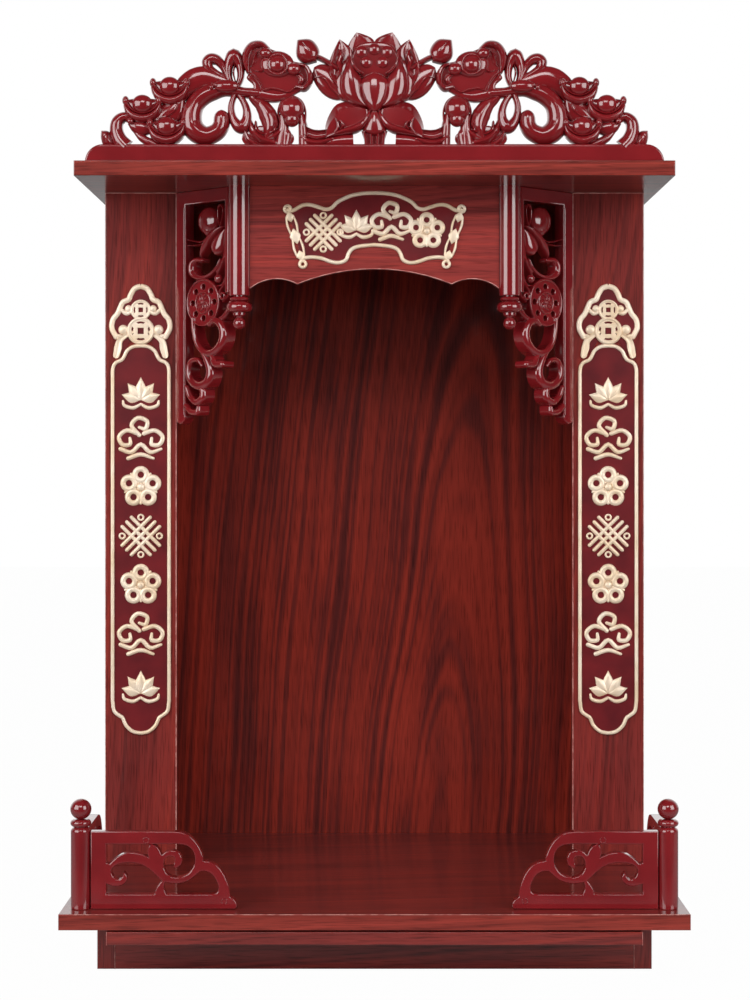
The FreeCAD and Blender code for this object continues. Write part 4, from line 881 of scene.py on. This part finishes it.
def make_bracket():
    """The bracket seen square on: from the pillar to the hanging post, heights from the top board."""
    bar, drop, reach = 12.4, 197, 65.4
    frame_bar = [(0.8, 0), (reach, 0), (reach, -88), (reach - 4.5, -88), (reach - 4.5, -11.5), (bar, -11.5),
                 (bar, -drop + 7), (bar - 1.5, -drop + 3), (bar - 6, -drop), (0.8, -drop + 2)]
    hub = (33, -94.8)
    round_rim = arc(hub, 20, 0, 360, 40)[:-1]
    holes = [arc(polar(hub, 13.2, math.radians(45 * step)), 2.4, 0, 360, 12)[:-1] for step in range(8)]
    pieces = [
        plate([frame_bar], 0, 11, 1.2),
        strand([(11, -14), (11, -drop + 8)], [1.6, 1.6], 9.5, 12.2, across=7),
        ball((35.5, -26), (12.4, 11.8, 6.4), 4.5),
        leaf([(27, -33), (35, -40.6), (43, -33.6)], [(27, -33), (35, -26), (43, -33.6)], 0, 9.5),
        strand([(52.4, -31), (51, -23.5), (51.6, -16.8), (54.4, -14.4), (57.2, -17.6), (56.4, -25.2),
                (53.6, -31)], [1.8, 2.4, 2.6, 2.8, 2.6, 2.4, 1.8], 2, 10.5),
        strand([(12, -40.4), (25.6, -43.4), (34.6, -42.6), (41.4, -37.6), (53.2, -33.2)],
               [2, 2.2, 2.4, 2.4, 1.8], 2, 10),
        strand([(12, -45.6), (23.7, -45.9), (31.6, -45.2)], [1.8, 2, 1.8], 2, 9),
        leaf([(58, -31), (46, -33), (35.8, -40.6), (28.4, -48), (26.6, -58)],
             [(58, -31), (49, -38), (41, -44), (35.4, -50), (26.6, -58)], 0, 11, wall=0.3, across=14,
             swell=0.3),
        leaf([(58.6, -33), (46, -38.6), (39, -45), (40, -50.4), (46, -56.4)],
             [(58.6, -33), (57.4, -42.6), (55.6, -50.8), (52, -55), (46, -56.4)], 0, 10, wall=0.3, across=14,
             swell=0.3),
        strand([(59.5, -36), (60, -46), (58.6, -55), (55, -63), (48, -69.5)], [4, 6, 6, 5.4, 4.4], 0, 9.5),
        strand([(29, -59), (21.6, -58.6), (17.2, -63), (18.4, -70), (26.6, -73.6), (37.6, -72.4), (46.8, -66.6),
                (51, -60)], [4.4, 6.6, 8, 8, 6.4, 5, 4.4, 3.4], 0, 11, wall=0.2, across=12),
        strand([(61, -58), (56.4, -61.6), (53, -66.6), (47.4, -74)], [4.6, 4.4, 3.8, 2.4], 0, 10.4),
        ball((49.4, -75.6), (4, 3.8, 4), 6.4),
        strand([(60.4, -62), (60.2, -72), (55.4, -80.6), (46.8, -81.6)], [3.6, 4.4, 4.2, 2.6], 0, 9),
        strand([(64.4, -76.6), (58.6, -81.2), (53.2, -85.6), (51.8, -90.6)], [3.4, 3.6, 3.4, 2.6], 0, 10),
        ring((56.4, -90.6), (2.6, 2.6), 2.4, 8, 1.6),
        strand([(64.4, -84), (62, -90.6), (56, -95)], [3, 3.4, 3], 0, 9),
        plate([round_rim] + holes, 0, 9, 0.9),
        ring(hub, (19.2, 19.2), 1.8, 9.2),
        ring(hub, (8.8, 8.8), 1.7, 9.2),
        ball(hub, (1.8, 1.8, 1.8), 9.6),
    ]
    for step in range(8):
        turn = math.radians(45 * step + 20)
        petal = [hub, polar(hub, 4.4, turn + 0.5), polar(hub, 7.2, turn)]
        pieces.append(strand(petal, [1.4, 2.2, 1.4], 8, 10.2, across=7, steps=3))
    scrolls = (
        ([(20.4, -108), (21.6, -118), (25.2, -128.6), (33, -136), (44, -137.2), (54, -131), (57.4, -121.6),
          (53.6, -113.6), (46.4, -110.6), (41, -113.6)], [4.4, 4.8, 5.4, 6, 6.8, 8, 8.4, 7.4, 6, 4]),
        ([(27, -131), (33.6, -138), (39, -146), (41.4, -154.6), (37, -162.4), (27, -164.4), (17.6, -160),
          (14.6, -151.4), (18.4, -143.6), (26.4, -143), (31.6, -147.6)],
         [4, 5.6, 7.4, 8.8, 9, 8.4, 7.2, 6.2, 5.4, 4.4, 3.2]),
        ([(43, -139.4), (48, -146.6), (56.4, -147.4)], [4, 7, 6.4]),
        ([(13, -166), (17.4, -174), (25, -178.4), (32.4, -174.6), (32, -167.6), (25, -166)],
         [5, 5.8, 6.8, 7.2, 6, 4]),
        ([(12.4, -181.4), (18, -186.2), (26, -187), (27.6, -183)], [5, 6, 6, 4]),
    )
    for points, widths in scrolls:
        pieces.append(strand(points, widths, -1.5, 12, wall=0.72, across=10, steps=6))
    pieces.append(strand([(64.6, -96), (61, -103), (54.6, -108.6), (46, -110.8)], [4, 5, 5.4, 5], -1.5, 9,
                         wall=0.7))
    return joined(staggered(pieces), "bracket_left_carving")


def make_brackets():
    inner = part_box("pillar_board_left")
    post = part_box("pendant_post_left")
    start = Vector((inner[1].x, (inner[0].y + inner[1].y) / 2, post[1].z))
    end = Vector(((post[0].x + post[1].x) / 2, (post[0].y + post[1].y) / 2, post[1].z))
    run = end - start
    turn = math.atan2(run.y, run.x)
    # The carving's back lies behind the line between the two, clear of the pillar
    behind, clear = 5 * MM, 4.2 * MM
    left = make_bracket()
    ahead = run.normalized()
    facing = Vector((ahead.y, -ahead.x, 0))
    spot = start - facing * behind + ahead * clear
    stand(left, spot.x, spot.y, spot.z, turn)
    finish(left, RED)
    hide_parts("bracket_left")
    right = mirrored(left, "bracket_right_carving")
    finish(right, RED)
    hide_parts("bracket_right")


def stroke(points, widths):
    """One rounded gilt line, 2.4 mm high."""
    return strand(points, widths, 0, 2.4, wall=0.35, across=8, steps=4)


def lotus_motif(x, y, size):
    pieces = []
    for angle, long in ((90, 15), (52, 14), (128, 14), (16, 13), (164, 13)):
        turn = math.radians(angle)
        ahead, side = Vector((math.cos(turn), math.sin(turn))), Vector((-math.sin(turn), math.cos(turn)))
        base, tip = Vector((0, -7)), Vector((0, -7)) + ahead * long
        swell = side * 3.6
        left = [base, base + ahead * long * 0.45 + swell, tip]
        right = [base, base + ahead * long * 0.45 - swell, tip]
        pieces.append(leaf(moved(left, x, y, size), moved(right, x, y, size), 0, 2.6, shape=ridged, steps=10))
    for way in (-1, 1):
        pad = flipped([(0, -9.6), (5, -12), (10.5, -10.5), (11.5, -7.6)], way)
        pieces.append(stroke(moved(pad, x, y, size), [2.4, 3.4, 3, 2]))
    return pieces


def blossom_motif(x, y, size):
    pieces = [ball((x, y), (2.6 * size, 2.6 * size, 2.2), 1.2)]
    for step in range(5):
        turn = math.radians(90 + 72 * step)
        petal = polar((x, y), 8 * size, turn)
        pieces.append(ring(petal, (3.8 * size, 3.8 * size), 3.6 * size, 0.9, 0.75))
        turn += math.radians(36)
        pieces.append(stroke([polar((x, y), reach * size, turn) for reach in (3, 10.5)], [1.4, 2.2]))
    return pieces


def cloud_motif(x, y, size):
    curls = (
        [(-1, 2), (-6, 8), (-2, 13), (4, 11), (3, 6), (-1, 7)],
        [(-2, 3), (-9, 5), (-14, 1), (-12, -4), (-7, -4), (-7, 0)],
        [(2, 3), (9, 5), (14, 1), (12, -4), (7, -4), (7, 0)],
        [(-13, -7), (-6, -9), (0, -4), (6, -9), (13, -7)],
        [(-8, -13), (0, -10.5), (8, -13)],
    )
    return [stroke(moved(curl, x, y, size), [3.8] * (len(curl) - 1) + [2.6]) for curl in curls]


def knot_motif(x, y, size):
    pieces = []
    for offset in (-6, 0, 6):
        for sign in (1, -1):
            ends = [(-9 + offset / 2, sign * (-9 - offset / 2)), (9 + offset / 2, sign * (9 - offset / 2))]
            pieces.append(stroke(moved(ends, x, y, size), [3.2, 3.2]))
    for spot in moved([(-12, 0), (12, 0), (0, 12), (0, -12)], x, y, size):
        pieces.append(ring(spot, (2.2, 2.2), 1.8, 1))
    return pieces


def coin(x, y, radius):
    """A round coin with a square hole and four curved slots."""
    square = 0.22 * radius
    hole = moved([(-1, -1), (1, -1), (1, 1), (-1, 1)], x, y, square)
    rims = [arc((x, y), radius, 0, 360, 36)[:-1], hole]
    for step in range(4):
        middle = 90 * step
        outer = arc((x, y), 0.68 * radius, middle - 27, middle + 27, 6)
        inner = arc((x, y), 0.54 * radius, middle + 20, middle - 20, 4)
        rims.append(outer + inner)
    return [plate(rims, 0, 2.2, 0.45), ring((x, y), (0.88 * radius, 0.88 * radius), 0.2 * radius, 1.9)]


def make_gilt(side, centre, face_y, top_z):
    """The gilt work on one pillar board: a cloud with two coins over an arched panel of ornaments."""
    half_frame = [(0, -130), (6.5, -130.8), (11.6, -134.2), (14.4, -139.6), (16.6, -142.2), (21.4, -144.6),
                  (23.8, -149.6), (24, -160), (24, -300), (24, -432), (22.6, -440.6), (18, -444.6),
                  (15.4, -446.6), (12.4, -453), (6.6, -458), (0, -459.4)]
    half_cloud = [(0, -79.4), (5.2, -81.4), (8.6, -86.6), (10.4, -90.6), (15.2, -93), (17.8, -98.4), (20, -103),
                  (23.8, -108), (24.6, -115), (21, -122.4)]
    tail = [(8, -118.6), (13.6, -122), (18, -126), (19.4, -132), (20.8, -138)]
    pieces = []
    for sign in (-1, 1):
        for run, steps in ((half_frame[:8], 5), (half_frame[7:10], 3), (half_frame[9:], 5)):
            pieces.append(strand(flipped(run, sign), [3.1] * len(run), 0, 2.4, wall=0.5, across=8, steps=steps,
                                 blunt=(False, False)))
        pieces += [
            strand(flipped(half_cloud, sign), [4.6] * 10, 0, 2.4, wall=0.4, across=8, blunt=(False, True)),
            strand(flipped(tail, sign), [3.4, 4.2, 5.4, 6.8, 5.6], 0, 2.8, wall=0.3, shape=dished, across=12),
            stroke(flipped([(16.4, -99.4), (12.6, -102.6), (8.6, -101.6)], sign), [3.2, 3.6, 3]),
            ball((sign * 10.4, -98.6), (3.1, 3.1, 1.9), 0.9),
            stroke(flipped([(20.4, -121.4), (17.6, -122)], sign), [3.6, 3.6]),
            ball((sign * 15, -116.4), (4.2, 4.2, 2.2), 0.9),
        ]
    pieces += coin(0, -99.6, 8.8) + coin(0, -117.4, 11.8)
    motifs = (lotus_motif, cloud_motif, blossom_motif, knot_motif, blossom_motif, cloud_motif, lotus_motif)
    for index, motif in enumerate(motifs):
        pieces += motif(0, -167.0 - 41.6 * index, 1.32)
    rims = [half_frame, half_cloud + [(19, -126), (20, -137), (14, -135), (9, -126), (0, -126)]]
    fields = [plate([both_halves(rim)], 0, level, 0.2) for rim, level in zip(rims, (0.7, 0.8))]
    field = joined(fields, f"gilt_field_{side}")
    stand(field, centre, face_y, top_z)
    finish(field, FIELD)
    gilt = joined(pieces, f"gilt_work_{side}")
    stand(gilt, centre, face_y, top_z)
    finish(gilt, GOLD)
    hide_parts(f"gilt_frame_{side}")


def make_gilt_frames():
    for side in ("left", "right"):
        low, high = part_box(f"pillar_board_{side}")
        make_gilt(side, (low.x + high.x) / 2, low.y, high.z)


def make_plaque():
    """The plaque on the arched board: a waved gilt border with braided sides round four ornaments."""
    top = [(0, -6), (9, -6.4), (17.8, -7.9), (25, -10.6), (31, -13.9), (35.6, -18.4), (40.4, -19.6),
           (45.5, -18.1), (53.5, -15.9), (60, -16.5), (67.3, -20.5), (71.5, -20)]
    foot = [(0, -48.9), (12.5, -50.2), (18.6, -52.4), (21.6, -56.4), (23.4, -61), (27.6, -63.4), (33, -63.6),
            (38.8, -62), (44.2, -60.1), (52.1, -59.2), (58.7, -60.1), (61, -63)]
    pieces = []
    for sign in (-1, 1):
        pieces += [stroke(flipped(top, sign), [3.2] * 12), stroke(flipped(foot, sign), [3.2] * 12)]
        start, end = Vector((71.4, -21.4)), Vector((59.8, -62.4))
        run = end - start
        side = Vector((run.y, -run.x)).normalized()
        for near, far, wide in ((0, 0.22, 3.6), (0.34, 0.66, 4.6), (0.78, 1, 3.6)):
            tips = [start + run * near, start + run * far]
            middle = (tips[0] + tips[1]) / 2
            edges = [[tips[0], middle + side * wide * way, tips[1]] for way in (1, -1)]
            pieces.append(leaf(*[flipped(edge, sign) for edge in edges], 0, 2.6, wall=0.5, steps=8))
        for near, far in ((0.1, 0.44), (0.56, 0.9)):
            for way in (1, -1):
                ends = [start + run * near + side * 3.0 * way, start + run * far + side * 3.0 * way]
                middle = (ends[0] + ends[1]) / 2 + side * 0.8 * way
                pieces.append(stroke(flipped([ends[0], middle, ends[1]], sign), [1.6, 2.2, 1.6]))
        for x, y in ((72, -19.4), (59.4, -65)):
            pieces.append(ring((sign * x, y), (2.6, 2.6), 2.6, 1.2))
    for motif, x, y in ((knot_motif, -42.4, -38.6), (lotus_motif, -15, -28.8), (cloud_motif, 14, -29.4),
                        (blossom_motif, 43.2, -37.6)):
        pieces += motif(x, y, 1.16)
    low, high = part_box("lintel_board")
    rim = top + [(59.4, -63.5)] + list(reversed(foot))
    field = joined([plate([both_halves(rim)], 0, 0.7, 0.2)], "plaque_field")
    stand(field, 0, low.y, high.z)
    finish(field, FIELD)
    plaque = joined(pieces, "plaque_gilt_work")
    stand(plaque, 0, low.y, high.z)
    finish(plaque, GOLD)
    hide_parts("plaque_border")


def set_stage():
    """A plain pale floor, a tall soft box on each side, and a soft light high in front."""
    deselect()
    bpy.ops.mesh.primitive_plane_add(size=12, location=(0, 0, -0.0005))
    floor = bpy.context.object
    floor.name = "floor"
    material, tree, shader = new_material("floor_paper")
    # The white paper ends in front of the object: nothing pale there for the faces to mirror
    place = add(tree, "ShaderNodeSeparateXYZ", {0: add(tree, "ShaderNodeTexCoord").outputs["Object"]})
    tone = add(tree, "ShaderNodeMapRange", {"Value": place.outputs["Y"], "From Min": -0.55, "From Max": -0.27,
                                            "To Min": 0.0, "To Max": 1.0})
    colour = ramp(tree, tone.outputs[0], ((0.0, "#1c1b1b"), (1.0, "#aeacac")))
    plug(tree, shader, {"Base Color": colour, "Roughness": 0.9})
    rays = add(tree, "ShaderNodeLightPath")
    white = add(tree, "ShaderNodeEmission", {"Color": linear("#ffffff"), "Strength": 1.0})
    share = add(tree, "ShaderNodeMath", {0: rays.outputs["Is Camera Ray"], 1: 0.985}, operation="MULTIPLY")
    mix = add(tree, "ShaderNodeMixShader", {0: share.outputs[0], 1: shader.outputs[0], 2: white.outputs[0]})
    plug(tree, tree.nodes["Material Output"], {"Surface": mix.outputs[0]})
    floor.data.materials.append(material)

    world = bpy.data.worlds.new("studio")
    bpy.context.scene.world = world
    world.use_nodes = True
    tree = world.node_tree
    rays = add(tree, "ShaderNodeLightPath")
    direction = add(tree, "ShaderNodeTexCoord").outputs["Generated"]
    parts = add(tree, "ShaderNodeSeparateXYZ", {0: direction})
    # White wall behind the object, a dim room on the camera's side
    room = add(tree, "ShaderNodeMapRange", {"Value": parts.outputs["Y"], "From Min": 0.1, "From Max": 0.75,
                                            "To Min": 0.03, "To Max": 1.0})
    fill = add(tree, "ShaderNodeMix", {"Factor": rays.outputs["Is Diffuse Ray"], 2: room.outputs[0], 3: 0.22})
    seen = add(tree, "ShaderNodeMix", {"Factor": rays.outputs["Is Camera Ray"], 2: fill.outputs[0], 3: 1.0})
    plug(tree, tree.nodes["Background"], {"Strength": seen.outputs[0], "Color": linear("#ffffff")})

    middle = (0, -0.1, 0.45)
    for name, place, size, power in (
            ("left_wall", (-1.22, -1.14, 0.78), (1.3, 1.2), 21.0),
            ("right_wall", (1.17, -1.19, 0.78), (1.0, 1.2), 17.0),
            ("high_front", (-0.1, -1.9, 1.5), (1.0, 0.5), 9.0)):
        bpy.ops.object.light_add(type="AREA", location=place)
        lamp = bpy.context.object
        lamp.name = name
        lamp.data.shape = "RECTANGLE"
        lamp.data.size, lamp.data.size_y = size
        lamp.data.energy = power
        lamp.rotation_euler = (Vector(middle) - Vector(place)).to_track_quat("-Z", "Y").to_euler()


def set_camera():
    """The photograph's straight-on view: level, a little above the middle of the niche."""
    camera = bpy.data.objects.new("camera", bpy.data.cameras.new("camera"))
    bpy.context.collection.objects.link(camera)
    camera.location = (0.0, -1.778, 0.4044)
    camera.rotation_euler = (math.radians(90), 0, 0)
    camera.data.sensor_width = 36.0
    camera.data.lens = 75.9
    camera.data.shift_x = 0.0005
    camera.data.shift_y = -0.043
    bpy.context.scene.camera = camera


dress_boards()
make_edge_lines()
make_arch_line()
make_tray_edge()
make_posts()
make_crest()
make_fences()
make_brackets()
make_gilt_frames()
make_plaque()
set_stage()
set_camera()
bpy.context.scene.view_settings.view_transform = "Standard"
